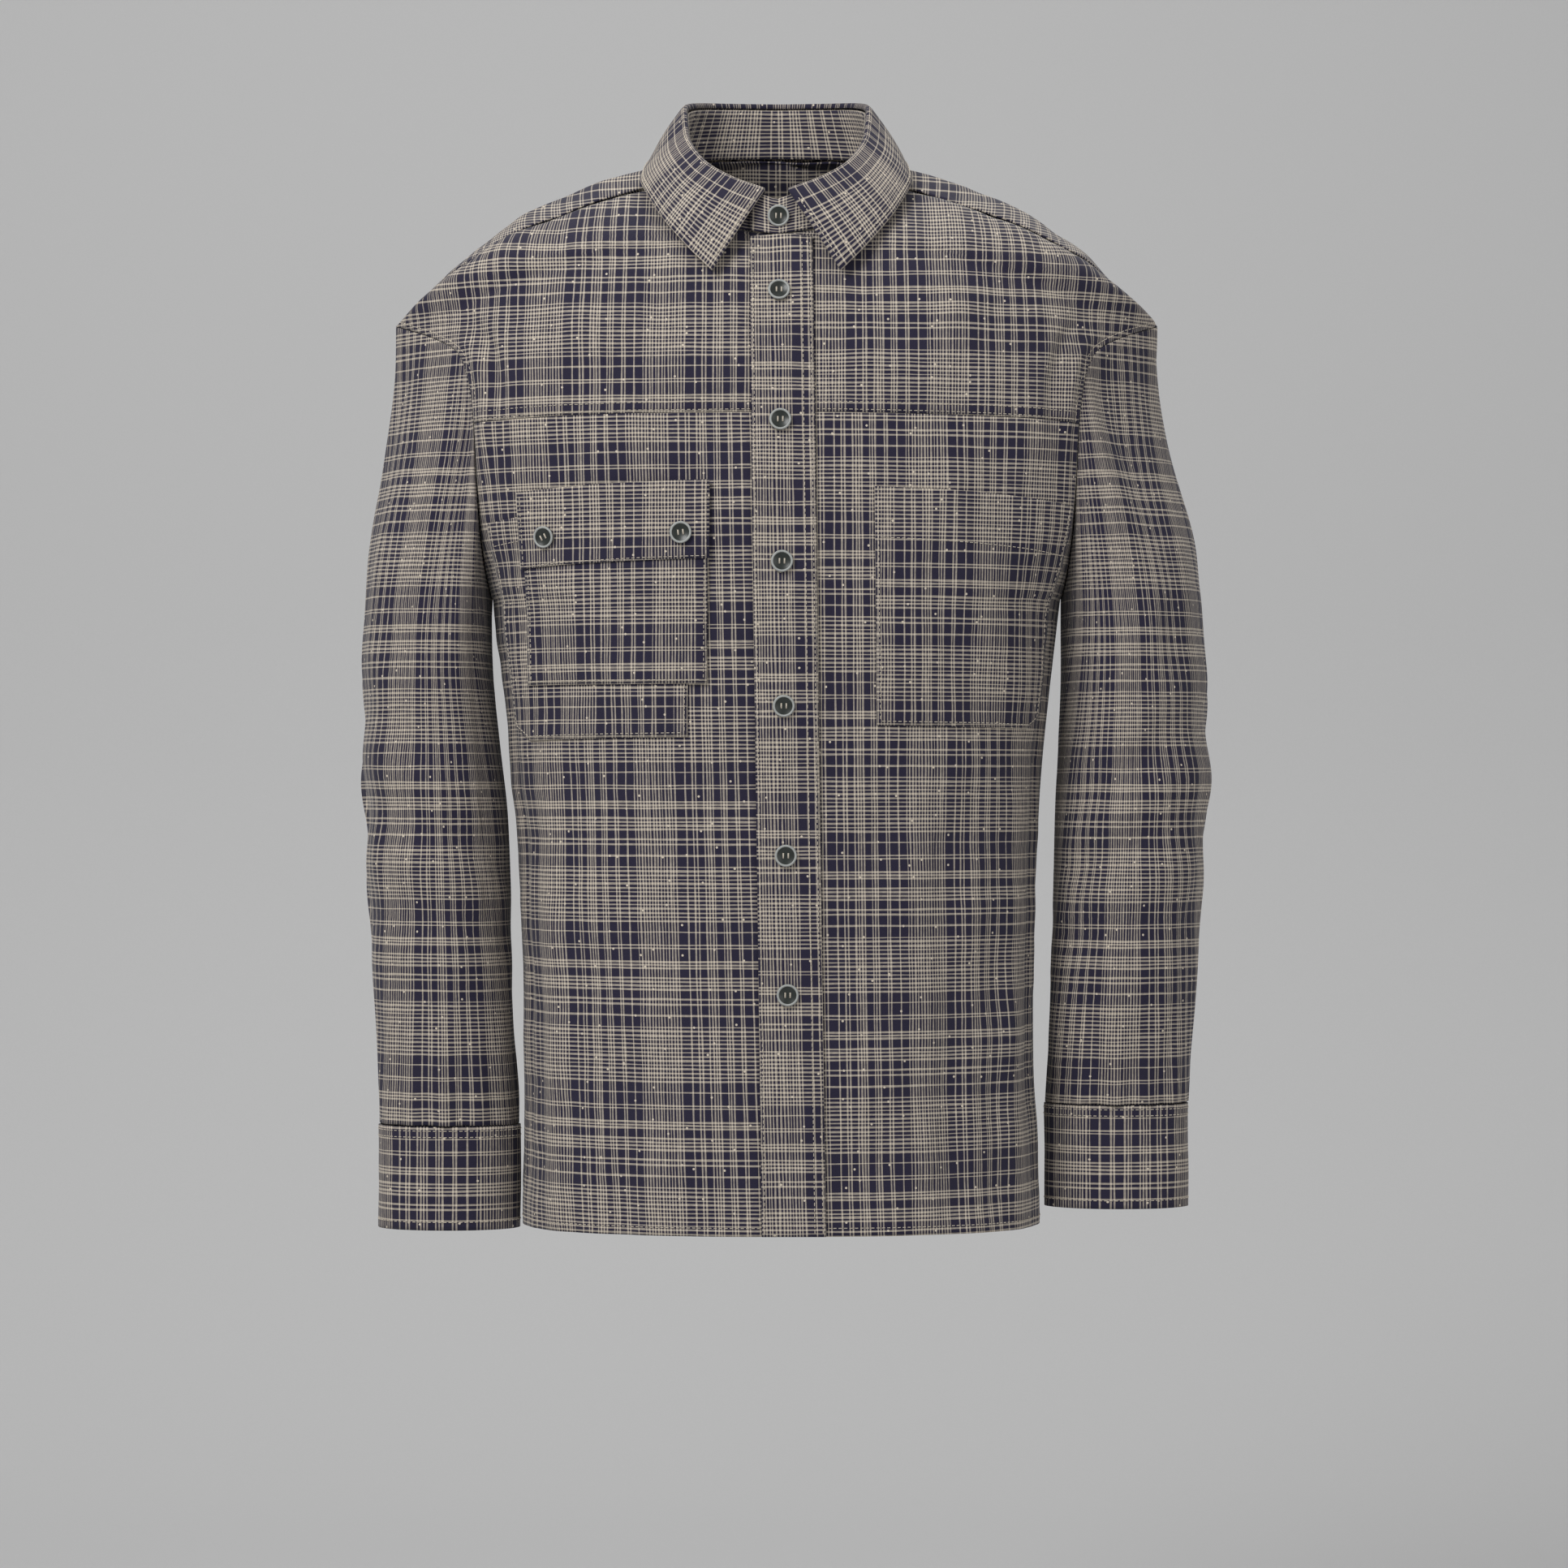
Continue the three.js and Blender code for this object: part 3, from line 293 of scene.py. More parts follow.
@dataclass(frozen=True)
class Sleeve:
    """A drop-shoulder sleeve as a surface over phi (round) and at (armhole 0 to cuff 1)."""

    side: float
    cuff_top: float
    cuff_bottom: float
    sections: Table
    seed: float
    blend: float = 0.3
    arm_gap: float = 0.6

    def point(self, phi: float, at: float) -> Vector:
        """Return the point in millimetres, without creases."""
        turn = math.radians(phi)
        value = {key: self.sections.read(key, at) for key in ("outer", "inner", "front", "back")}
        down = min(at, 1.0)
        outer_z = lerp(SLEEVE_OUTER_Z, self.cuff_top, down)
        inner_z = lerp(SLEEVE_INNER_Z, self.cuff_top, down)
        inward = (1 - math.cos(turn)) / 2
        half = (value["outer"] - value["inner"]) / 2
        depth = (value["front"] + value["back"]) / 2
        ring = Vector((
            (value["outer"] + value["inner"]) / 2 + half * math.cos(turn),
            (value["back"] - value["front"]) / 2 - depth * math.sin(turn),
            lerp(outer_z, inner_z, inward)))
        seam = ARMHOLE.point(phi - 360 if phi > 345 else phi)
        seam.x += self.arm_gap * abs(math.sin(turn / 2))
        seam.z -= self.arm_gap * math.cos(turn / 2) ** 4
        seam.z -= lerp(SLEEVE_OUTER_Z - outer_z, SLEEVE_INNER_Z - inner_z, inward)
        point = seam.lerp(ring, smooth(0, self.blend, at))
        point.x *= self.side
        return point

    def outward(self, phi: float, at: float) -> Vector:
        """Return the direction out of the tube."""
        step = -0.01 if at > 0.5 else 0.01
        here = self.point(phi, at)
        along = self.point((phi + 1) % 360, at) - here
        down = (self.point(phi, at + step) - here) * math.copysign(1, step)
        normal = along.cross(down).normalized()
        middle = (self.point(90, at) + self.point(270, at)) / 2
        return -normal if normal.dot(here - middle) < 0 else normal

    def draped(self, phi: float, at: float) -> Vector:
        """Return the point with its long folds, elbow creases and gathers."""
        here = self.point(phi, at)
        ends = smooth(0, 0.06, at)
        height = 2.6 * noise.noise(Vector((phi / 38, at * 3.1, self.seed)))
        height += 1.3 * noise.noise(Vector((phi / 16, at * 9, self.seed + 4)))
        elbow = bump((at - 0.58) / 0.28)
        inside = 0.5 + 0.5 * math.sin(math.radians(phi + 40))
        height += elbow * 2.2 * math.sin(at * 46 + phi / 31 + self.seed) * inside
        gather = smooth(0.8, 1.0, at) * (0.5 - 0.5 * math.cos(math.radians(phi)) ** 2)
        height += 2.2 * gather * math.sin(phi / 4.6 + self.seed)
        crown = bump((at - 0.05) / 0.3) * 2.4
        top = crown * math.sin(phi / 9.0 + self.seed) * bump((phi - 90) / 80)
        limit = -1.2 if 130 < phi < 230 else 4.0
        return here + self.outward(phi, at) * min(limit + 1.2, (height + top)) * ends


SLEEVE_RIGHT = Sleeve(-1.0, -669, -741, Table("at outer inner front back", (
    (0, 269, 200, 64, 69), (0.12, 281, 199.5, 67, 70), (0.27, 288, 195.5, 67, 67),
    (0.42, 292, 189.5, 64, 61), (0.58, 290, 187, 60, 54), (0.74, 286, 184.5, 55, 46),
    (0.88, 282, 181.5, 49, 36), (1, 280, 180, 41, 23))), 1.3)
SLEEVE_LEFT = Sleeve(1.0, -654, -726, Table("at outer inner front back", (
    (0, 269, 200, 64, 69), (0.12, 282, 201, 67, 70), (0.27, 294, 199, 67, 67),
    (0.42, 301, 196.5, 65, 62), (0.58, 304, 195, 61, 55), (0.74, 298, 193, 56, 47),
    (0.88, 293, 190.5, 49, 37), (1, 289.5, 188.5, 41, 23))), 5.9)


def srgb(code: str) -> tuple[float, float, float, float]:
    """Turn an sRGB hex code into a linear colour."""
    parts = [int(code[i:i + 2], 16) / 255 for i in (0, 2, 4)]
    return tuple(p / 12.92 if p <= 0.04045 else ((p + 0.055) / 1.055) ** 2.4 for p in parts) + (1.0,)


def add_node(tree: bpy.types.NodeTree, kind: str, settings: dict | None = None,
             links: dict | None = None) -> bpy.types.Node:
    """Add a node with its settings and the links or values of its sockets.

    Args:
        tree: The node tree.
        kind: The node's type.
        settings: Attributes of the node.
        links: Socket name or number to an output socket or a plain value.

    Returns:
        The new node.
    """
    node = tree.nodes.new(kind)
    for key, value in (settings or {}).items():
        setattr(node, key, value)
    for key, value in (links or {}).items():
        if isinstance(value, bpy.types.NodeSocket):
            tree.links.new(value, node.inputs[key])
        else:
            node.inputs[key].default_value = value
    return node


@dataclass(frozen=True)
class Sett:
    """One direction of the check, in mm: a band of even light threads, then single light threads."""

    repeat: float
    band_pitch: float
    band_threads: int
    singles: tuple[float, ...]
    thread: float

    def starts(self) -> tuple[list[float], list[float]]:
        """Return where the light threads start, in the band and after it."""
        band = [i * self.band_pitch for i in range(self.band_threads)]
        return band, [band[-1] + offset for offset in self.singles]


WARP = Sett(84.6, 2.17, 14, (
    7.3, 12.2, 14.6, 20.0, 22.1, 24.2, 26.3, 31.6, 33.5, 35.4, 41.6, 43.6, 50.2), 0.94)
WEFT = Sett(108.7, 2.82, 14, (
    7.5, 16.3, 18.5, 27.5, 29.7, 31.9, 38.6, 41.3, 43.8, 46.4, 53.0, 56.4, 64.0), 1.12)


@dataclass(frozen=True)
class CheckLinen:
    """Plain-weave linen, woven in navy and ecru threads: matt, slubby, with pale neps."""

    name: str = "woven linen, navy and ecru check"
    navy: str = "221F33"
    ecru: str = "C8BDAD"
    roughness: float = 0.88

    def lines(self, tree: bpy.types.NodeTree, axis: bpy.types.NodeSocket,
              sett: Sett) -> bpy.types.NodeSocket:
        """Chart the light threads of one direction; the socket is 1 on a light thread."""
        turn = add_node(tree, "ShaderNodeMath", {"operation": "DIVIDE"}, {0: axis, 1: sett.repeat})
        turn = add_node(tree, "ShaderNodeMath", {"operation": "FRACT"}, {0: turn.outputs[0]})
        ramps = []
        for starts in sett.starts():
            ramp = add_node(tree, "ShaderNodeValToRGB", {}, {0: turn.outputs[0]})
            ramp.color_ramp.interpolation = "CONSTANT"
            ramp.color_ramp.elements.remove(ramp.color_ramp.elements[1])
            ramp.color_ramp.elements[0].color = (0, 0, 0, 1)
            ramp.color_ramp.elements[0].position = 0.0
            for start in starts:
                low = (start + 1.0) / sett.repeat
                ramp.color_ramp.elements.new(low).color = (1, 1, 1, 1)
                ramp.color_ramp.elements.new(low + sett.thread / sett.repeat).color = (0, 0, 0, 1)
            ramps.append(ramp.outputs[0])
        both = add_node(tree, "ShaderNodeMath", {"operation": "MAXIMUM"}, {0: ramps[0], 1: ramps[1]})
        return both.outputs[0]

    def build(self) -> bpy.types.Material:
        """Return the material."""
        material = bpy.data.materials.new(self.name)
        material.use_nodes = True
        tree = material.node_tree
        shader = tree.nodes["Principled BSDF"]
        uv = add_node(tree, "ShaderNodeUVMap", {"uv_map": "Cloth"})
        grain = add_node(tree, "ShaderNodeVectorMath", {"operation": "SCALE"},
                         {0: uv.outputs[0], "Scale": 1000.0})
        parts = add_node(tree, "ShaderNodeSeparateXYZ", {}, {0: grain.outputs[0]})
        axes = []
        for key, stretch in ((0, (0.45, 0.02, 1)), (1, (0.02, 0.45, 1))):
            moved = add_node(tree, "ShaderNodeVectorMath", {"operation": "MULTIPLY"},
                             {0: grain.outputs[0], 1: stretch})
            waver = add_node(tree, "ShaderNodeTexNoise", {"noise_dimensions": "2D"},
                             {"Vector": moved.outputs[0], "Scale": 1.0, "Detail": 2.0})
            off = add_node(tree, "ShaderNodeMath", {"operation": "MULTIPLY_ADD"},
                           {0: waver.outputs[0], 1: 1.1, 2: parts.outputs[key]})
            axes.append(off.outputs[0])
        warp = self.lines(tree, axes[0], WARP)
        weft = self.lines(tree, axes[1], WEFT)
        mixed = add_node(tree, "ShaderNodeMath", {"operation": "ADD"}, {0: warp, 1: weft})
        half = add_node(tree, "ShaderNodeMath", {"operation": "MULTIPLY"}, {0: mixed.outputs[0], 1: 0.5})
        slub = add_node(tree, "ShaderNodeTexNoise", {"noise_dimensions": "2D"},
                        {"Vector": grain.outputs[0], "Scale": 0.35, "Detail": 3.0})
        vary = add_node(tree, "ShaderNodeMath", {"operation": "MULTIPLY_ADD"},
                        {0: slub.outputs[0], 1: 0.7, 2: 0.65})
        light = add_node(tree, "ShaderNodeMath", {"operation": "MULTIPLY", "use_clamp": True},
                         {0: half.outputs[0], 1: vary.outputs[0]})
        flecks = add_node(tree, "ShaderNodeTexVoronoi", {"voronoi_dimensions": "2D", "feature": "F1"},
                          {"Vector": grain.outputs[0], "Scale": 0.045})
        nep = add_node(tree, "ShaderNodeMath", {"operation": "LESS_THAN"}, {0: flecks.outputs[0], 1: 0.035})
        value = add_node(tree, "ShaderNodeMath", {"operation": "MAXIMUM"},
                         {0: light.outputs[0], 1: nep.outputs[0]})
        colour = add_node(tree, "ShaderNodeMix", {"data_type": "RGBA"},
                          {0: value.outputs[0], 6: srgb(self.navy), 7: srgb(self.ecru)})
        tree.links.new(colour.outputs[2], shader.inputs["Base Color"])
        weave = add_node(tree, "ShaderNodeTexNoise", {"noise_dimensions": "2D"},
                         {"Vector": grain.outputs[0], "Scale": 0.9, "Detail": 2.0})
        raised = add_node(tree, "ShaderNodeMath", {"operation": "ADD"},
                          {0: weave.outputs[0], 1: light.outputs[0]})
        relief = add_node(tree, "ShaderNodeBump", {}, {"Strength": 0.35, "Distance": 0.0006,
                                                       "Height": raised.outputs[0]})
        tree.links.new(relief.outputs[0], shader.inputs["Normal"])
        shader.inputs["Roughness"].default_value = self.roughness
        shader.inputs["Sheen Weight"].default_value = 0.12
        shader.inputs["Sheen Roughness"].default_value = 0.5
        shader.inputs["Specular IOR Level"].default_value = 0.25
        return material


@dataclass(frozen=True)
class Plain:
    """A plain moulded or spun finish with a faint mottle."""

    name: str
    low: str
    high: str
    roughness: float

    def build(self) -> bpy.types.Material:
        """Return the material."""
        material = bpy.data.materials.new(self.name)
        material.use_nodes = True
        tree = material.node_tree
        shader = tree.nodes["Principled BSDF"]
        where = add_node(tree, "ShaderNodeTexCoord")
        mottle = add_node(tree, "ShaderNodeTexNoise", {},
                          {"Vector": where.outputs["Object"], "Scale": 420.0, "Detail": 3.0})
        colour = add_node(tree, "ShaderNodeMix", {"data_type": "RGBA"},
                          {0: mottle.outputs[0], 6: srgb(self.low), 7: srgb(self.high)})
        tree.links.new(colour.outputs[2], shader.inputs["Base Color"])
        shader.inputs["Roughness"].default_value = self.roughness
        return material


class Slot(Enum):
    """The record's material slots."""

    CLOTH = "check_linen"
    BUTTON = "button"


LINEN = CheckLinen()
# Moulded resin: dark and a little glossy.
BUTTON_RESIN = Plain("moulded resin, green black", "151A17", "262C28", 0.32)
# The same resin ground back to a pale matt ring.
RIM_RESIN = Plain("ground resin, pale grey", "8B8E8C", "A9ABA8", 0.5)
# Spun cotton: matt ecru.
COTTON = Plain("spun cotton thread, ecru", "B4AA9A", "CFC6B8", 0.9)
# Painted studio paper: matt, pale grey.
PAPER = Plain("painted paper, pale grey", "C9C9C9", "CDCDCD", 0.95)


@dataclass
class Workshop:
    """Holds the finishes and turns surfaces into cloth objects."""

    linen: bpy.types.Material = field(default_factory=LINEN.build)
    horn: bpy.types.Material = field(default_factory=BUTTON_RESIN.build)
    ring: bpy.types.Material = field(default_factory=RIM_RESIN.build)
    thread: bpy.types.Material = field(default_factory=COTTON.build)

    def sheet(self, name: str, size: tuple[float, float], place: Callable[[float, float], Vector],
              cloth: Callable[[float, float], tuple[float, float]], on_body: bool,
              wall: float) -> bpy.types.Object:
        """Args:
            name: The CAD node that it stands for.
            size: Its rough width and length in mm, which set the grid.
            place: Grid fractions to a point in mm.
            cloth: Grid fractions to the cloth's own coordinates in mm.
            on_body: Whether its outside faces away from the body's axis, not from its own middle.
            wall: Thickness in mm.

        Returns:
            The new object.
        """
        columns = max(6, round(size[0] / CELL_MM)) // 2 * 2 + 1
        lines = max(3, round(size[1] / CELL_MM))
        bm = bmesh.new()
        bmesh.ops.create_grid(bm, x_segments=columns, y_segments=lines, size=0.5)
        layer = bm.loops.layers.uv.new("Cloth")
        where = {}
        for vert in bm.verts:
            s, t = vert.co.x + 0.5, vert.co.y + 0.5
            where[vert.index] = (s, t)
            vert.co = place(s, t) * MM
        for face in bm.faces:
            face.smooth = True
            for loop in face.loops:
                x, y = cloth(*where[loop.vert.index])
                loop[layer].uv = (x * MM, y * MM)
        across = [f for f in bm.faces if max(e.calc_length() for e in f.edges) > LONGEST_CELL]
        bmesh.ops.delete(bm, geom=across, context="FACES")
        bm.normal_update()
        middle = sum((f.calc_center_median() for f in bm.faces), Vector()) / len(bm.faces)
        if on_body:
            middle = Vector((0, 0, middle.z))
        if sum(f.normal.dot(f.calc_center_median() - middle) for f in bm.faces) < 0:
            bmesh.ops.reverse_faces(bm, faces=bm.faces)
        corners = [loop[layer].uv for face in bm.faces for loop in face.loops]
        flat = [max(c[k] for c in corners) - min(c[k] for c in corners) for k in (0, 1)]
        # This is the draped grid's own area, so it is no test of the cut.
        area = min(flat[0] * flat[1], sum(f.calc_area() for f in bm.faces))
        mesh = bpy.data.meshes.new(name)
        bm.to_mesh(mesh)
        bm.free()
        mesh.materials.append(self.linen)
        piece = bpy.data.objects.new("cloth_" + name, mesh)
        bpy.context.scene.collection.objects.link(piece)
        shell = piece.modifiers.new("wall", "SOLIDIFY")
        shell.thickness = wall * MM
        shell.offset = -1
        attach(piece, "root")
        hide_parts(name)
        LOG.info("%s: %d cells", name, columns * lines)
        return piece


@dataclass
class Thread:
    """Collects rows of stitching and makes them one mesh."""

    width: float = 0.55
    stitch: float = 2.4
    gap: float = 1.3
    rows: list[list[tuple[Vector, Vector]]] = field(default_factory=list)

    def row(self, path: Callable[[float], tuple[Vector, Vector]], steps: int = 120) -> None:
        """Keep a stitched line.

        Args:
            path: A fraction to a point in mm and the cloth's outward direction there.
            steps: How many points follow the cloth.
        """
        self.rows.append([path(i / steps) for i in range(steps + 1)])

    def build(self, material: bpy.types.Material) -> bpy.types.Object:
        """Return the joined stitches."""
        bm = bmesh.new()
        for row in self.rows:
            travelled, target = 0.0, self.gap
            start = None
            for (here, normal), (there, _) in zip(row, row[1:]):
                length = (there - here).length
                while length > 0 and target <= travelled + length:
                    point = here.lerp(there, (target - travelled) / length)
                    if start is None:
                        start = point
                        target += self.stitch
                    else:
                        self.add(bm, start, point, normal)
                        start = None
                        target += self.gap
                travelled += length
        mesh = bpy.data.meshes.new("stitching")
        bm.to_mesh(mesh)
        bm.free()
        mesh.materials.append(material)
        piece = bpy.data.objects.new("stitching", mesh)
        bpy.context.scene.collection.objects.link(piece)
        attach(piece, "root")
        return piece

    def add(self, bm: bmesh.types.BMesh, start: Vector, end: Vector, normal: Vector) -> None:
        """Add one stitch: a low six-sided hump."""
        along = (end - start).normalized()
        wide = along.cross(normal).normalized() * self.width / 2
        high = normal * self.width * 0.7
        feet = [start - wide, start + wide, end + wide, end - wide]
        low = [bm.verts.new((p - normal * 0.2) * MM) for p in feet]
        inset = along * 0.35
        tops = [start - wide * 0.5 + inset, start + wide * 0.5 + inset,
                end + wide * 0.5 - inset, end - wide * 0.5 - inset]
        top = [bm.verts.new((p + high) * MM) for p in tops]
        faces = [bm.faces.new(top)]
        for k in range(4):
            faces.append(bm.faces.new((low[k], low[(k + 1) % 4], top[(k + 1) % 4], top[k])))
        if faces[0].normal.length == 0:
            faces[0].normal_update()
        if faces[0].normal.dot(normal) < 0:
            bmesh.ops.reverse_faces(bm, faces=faces)


@dataclass(frozen=True)
class Lie:
    """How the check lies on a piece: x and z (mm) where a light warp and weft band start."""

    x: float
    z: float
    scale: float = 1.0


@lru_cache(maxsize=20000)
def girth(part: str, row: float, sign: float) -> tuple[float, ...]:
    """Return the cloth's widths from the middle line out to the edge on one side of a row."""
    side = FRONT if part == "front" else BACK
    steps = 40
    points = [side.bare(sign * max(EPSILON, i / steps), row) for i in range(steps + 1)]
    total = [abs(points[0].x) if row > NECK_ROW else 0.0]
    for a, b in zip(points, points[1:]):
        total.append(total[-1] + (b - a).length)
    return tuple(sign * value for value in total)


def arc(part: str, u: float, row: float) -> float:
    """Return the cloth's width from the middle to u along a row, negative on the wearer's right."""
    lengths = girth(part, round(row, 2), -1.0 if u < 0 else 1.0)
    place = min(1.0, abs(u)) * (len(lengths) - 1)
    low = min(len(lengths) - 2, int(place))
    return lerp(lengths[low], lengths[low + 1], place - low)


@lru_cache(maxsize=20000)
def strip_u(x: float, row: float) -> float:
    """Return the front's u on a line that leans with the button strip."""
    z = FRONT.middle.read("z", min(row, NECK_ROW))
    return FRONT.across(x + STRIP_DRIFT * (z / HEM_Z) ** 1.2, row)


def join_u(row: float) -> float:
    """Return the u where the fronts meet under the strip, drawn in to the neck seam."""
    if row >= NECK_ROW:
        return EPSILON
    return max(EPSILON, strip_u(STRIP_JOIN, round(row, 3)) * smooth(0, 0.8, NECK_ROW - row))


def join_right(row: float) -> float:
    """Return the same line for the right front, which stays on its own side of the neck."""
    return -EPSILON if row >= NECK_ROW else join_u(row)


@dataclass
class Body:
    """The fronts, back and yoke, with the button strip and pockets laid on them."""

    shop: Workshop
    thread: Thread

    def panel(self, name: str, side: Side, rows: tuple[float, float],
              left: Callable[[float], float], right: Callable[[float], float], lie: Lie,
              lift: float = 0.0, wall: float = CLOTH_MM, drift: float = 0.0) -> None:
        """Lay a piece of cloth on the body.

        Args:
            name: The CAD node that it stands for.
            side: The front or the back.
            rows: Its lowest and highest row.
            left: A row to the u of its left edge.
            right: A row to the u of its right edge.
            lie: How its check lies.
            lift: How far it lies over the panel, in mm.
            wall: Thickness in mm.
            drift: How far its check leans towards the hem, in mm.
        """
        part = "front" if side is FRONT else "back"

        def spot(s: float, t: float) -> tuple[float, float]:
            row = lerp(rows[0], rows[1], t)
            return lerp(left(row), right(row), s), row

        def place(s: float, t: float) -> Vector:
            return side.point(*spot(s, t), lift)

        def cloth(s: float, t: float) -> tuple[float, float]:
            u, row = spot(s, t)
            point = side.bare(u, row)
            wide = arc(part, u, row)
            lean = drift * (point.z / HEM_Z)
            return wide - lie.x - lean + 8460, (lie.z - point.z) * lie.scale + 10870

        middle = [place(i / 8, 0.3) for i in range(9)]
        width = sum((b - a).length for a, b in zip(middle, middle[1:]))
        tall = [place(0.5, i / 8) for i in range(9)]
        length = sum((b - a).length for a, b in zip(tall, tall[1:]))
        self.shop.sheet(name, (width, length), place, cloth, True, wall)

    @staticmethod
    def at_edge(u: float) -> Callable[[float], float]:
        """Return an edge that keeps to one u."""
        return lambda row: u

    @staticmethod
    def at_strip(x: float) -> Callable[[float], float]:
        """Return an edge that leans with the button strip."""
        return lambda row: strip_u(x, round(row, 3))

    def dress(self) -> None:
        """Make every piece of the body."""
        lower = (0, CHEST_ROW - SEAM_ROWS)
        upper = (CHEST_ROW + SEAM_ROWS, FRONT_TOP_ROW)
        back = (0, YOKE_ROW - SEAM_ROWS)
        yoke = (YOKE_ROW + SEAM_ROWS, YOKE_TOP_ROW)
        right, left = self.at_edge(-1.0), self.at_edge(1.0)
        self.panel("lower_front_right", FRONT, lower, right, join_right, Lie(-107, -268), drift=14)
        self.panel("lower_front_left", FRONT, lower, join_u, left, Lie(86, -207), drift=4)
        self.panel("upper_front_right", FRONT, upper, right, join_right, Lie(-92, -100))
        self.panel("upper_front_left", FRONT, upper, join_u, left, Lie(102, -133))
        self.panel("back_panel", BACK, back, right, left, Lie(-20, -120))
        self.panel("back_yoke", BACK, yoke, right, left, Lie(-42, -20))
        self.panel("button_placket", FRONT, (0, NECK_ROW - 0.02), self.at_strip(STRIP_LEFT),
                   self.at_strip(STRIP_RIGHT), Lie(-21, -80, 1.025), STRIP_LIFT + DOUBLE_MM, DOUBLE_MM,
                   STRIP_DRIFT)
        self.pocket("pocket_back_patch", 0, (-199, -60, -243), (-181, -60, -399), -13, Lie(-155, -332))
        self.pocket("pocket_front_patch", 1, (-172, -46, -236), (-169, -47, -362), 0, Lie(-169, -283))
        self.pocket("pocket_flap", 2, (-176, -45, -226), (-173, -45, -279), 0, Lie(-176, -224))
        self.pocket("chest_pocket_left", 0, (66.5, 203, -231), (68, 181, -391), 9, Lie(135, -335))
        self.sew()

    def pocket(self, name: str, layer: int, top: tuple[float, float, float],
               foot: tuple[float, float, float], cut: float, lie: Lie) -> None:
        """Lay a patch on the front and stitch its edges."""
        middle = (top[0] + top[1]) / 2
        high, low = FRONT.row_at(middle, top[2]), FRONT.row_at(middle, foot[2])
        corner = abs(cut) / 60

        def edge(index: int, inset: float) -> Callable[[float], float]:
            is_cut = corner and (cut < 0) == (index == 0)

            @lru_cache(maxsize=4000)
            def u(row: float) -> float:
                x = lerp(foot[index], top[index], (row - low) / (high - low))
                trimmed = cut * max(0.0, 1 - (row - low) / corner) if is_cut else 0
                return FRONT.across(x - trimmed + inset, row)
            return u

        lift = (layer + 1) * (CLOTH_MM + GAP_MM)
        self.panel(name, FRONT, (low, high), edge(0, 0), edge(1, 0), lie, lift)
        rise = lift + STITCH_LIFT
        inset = 2.2
        foot_row = low + inset / 40
        left, right = edge(0, inset), edge(1, -inset)
        self.line(lambda t: (left(lerp(foot_row, high, t)), lerp(foot_row, high, t)), rise)
        self.line(lambda t: (right(lerp(foot_row, high, t)), lerp(foot_row, high, t)), rise)
        self.line(lambda t: (lerp(left(foot_row), right(foot_row), t), foot_row), rise)
        if layer == 2:
            return
        band = high - (1.05 if name == "chest_pocket_left" else 0.5)
        self.line(lambda t: (lerp(left(band), right(band), t), band), rise)

    def line(self, spot: Callable[[float], tuple[float, float]], lift: float,
             side: Side = FRONT) -> None:
        """Stitch a line on the body at a height over the panel."""
        self.thread.row(lambda t: (side.point(*spot(t), lift), side.normal(*spot(t))))

    def sew(self) -> None:
        """Stitch the seams, the strip's edge and the hem."""
        for row in (CHEST_ROW + 0.06, CHEST_ROW + 0.22):
            self.across_fronts(row)
        for x in (STRIP_RIGHT - 2, STRIP_RIGHT - 7.5, STRIP_LEFT + 2):
            self.down_strip(x)
        self.across_fronts(HEM_STITCH_ROW)
        self.line(lambda t: (lerp(-0.995, 0.995, t), HEM_STITCH_ROW), STITCH_LIFT, BACK)
        self.line(lambda t: (lerp(-0.995, 0.995, t), YOKE_ROW + 0.05), STITCH_LIFT, BACK)
        for side in (-1, 1):
            self.line(lambda t, k=side: (k * 0.975, lerp(CHEST_ROW, 17.5, t)), STITCH_LIFT)
            self.line(lambda t, k=side: (k * 0.975, lerp(7.5, 18.4, t)), STITCH_LIFT, BACK)

    def across_fronts(self, row: float) -> None:
        """Stitch along a row on each side of the strip."""
        self.line(lambda t: (lerp(-0.995, strip_u(STRIP_LEFT, row), t), row), STITCH_LIFT)
        self.line(lambda t: (lerp(strip_u(STRIP_RIGHT, row), 0.995, t), row), STITCH_LIFT)

    def down_strip(self, x: float) -> None:
        """Stitch from the hem to the neck on the button strip."""
        def spot(t: float) -> tuple[float, float]:
            row = round(lerp(0.02, 14.9, t), 3)
            return strip_u(x, row), row
        self.line(spot, STRIP_LIFT + DOUBLE_MM + STITCH_LIFT)


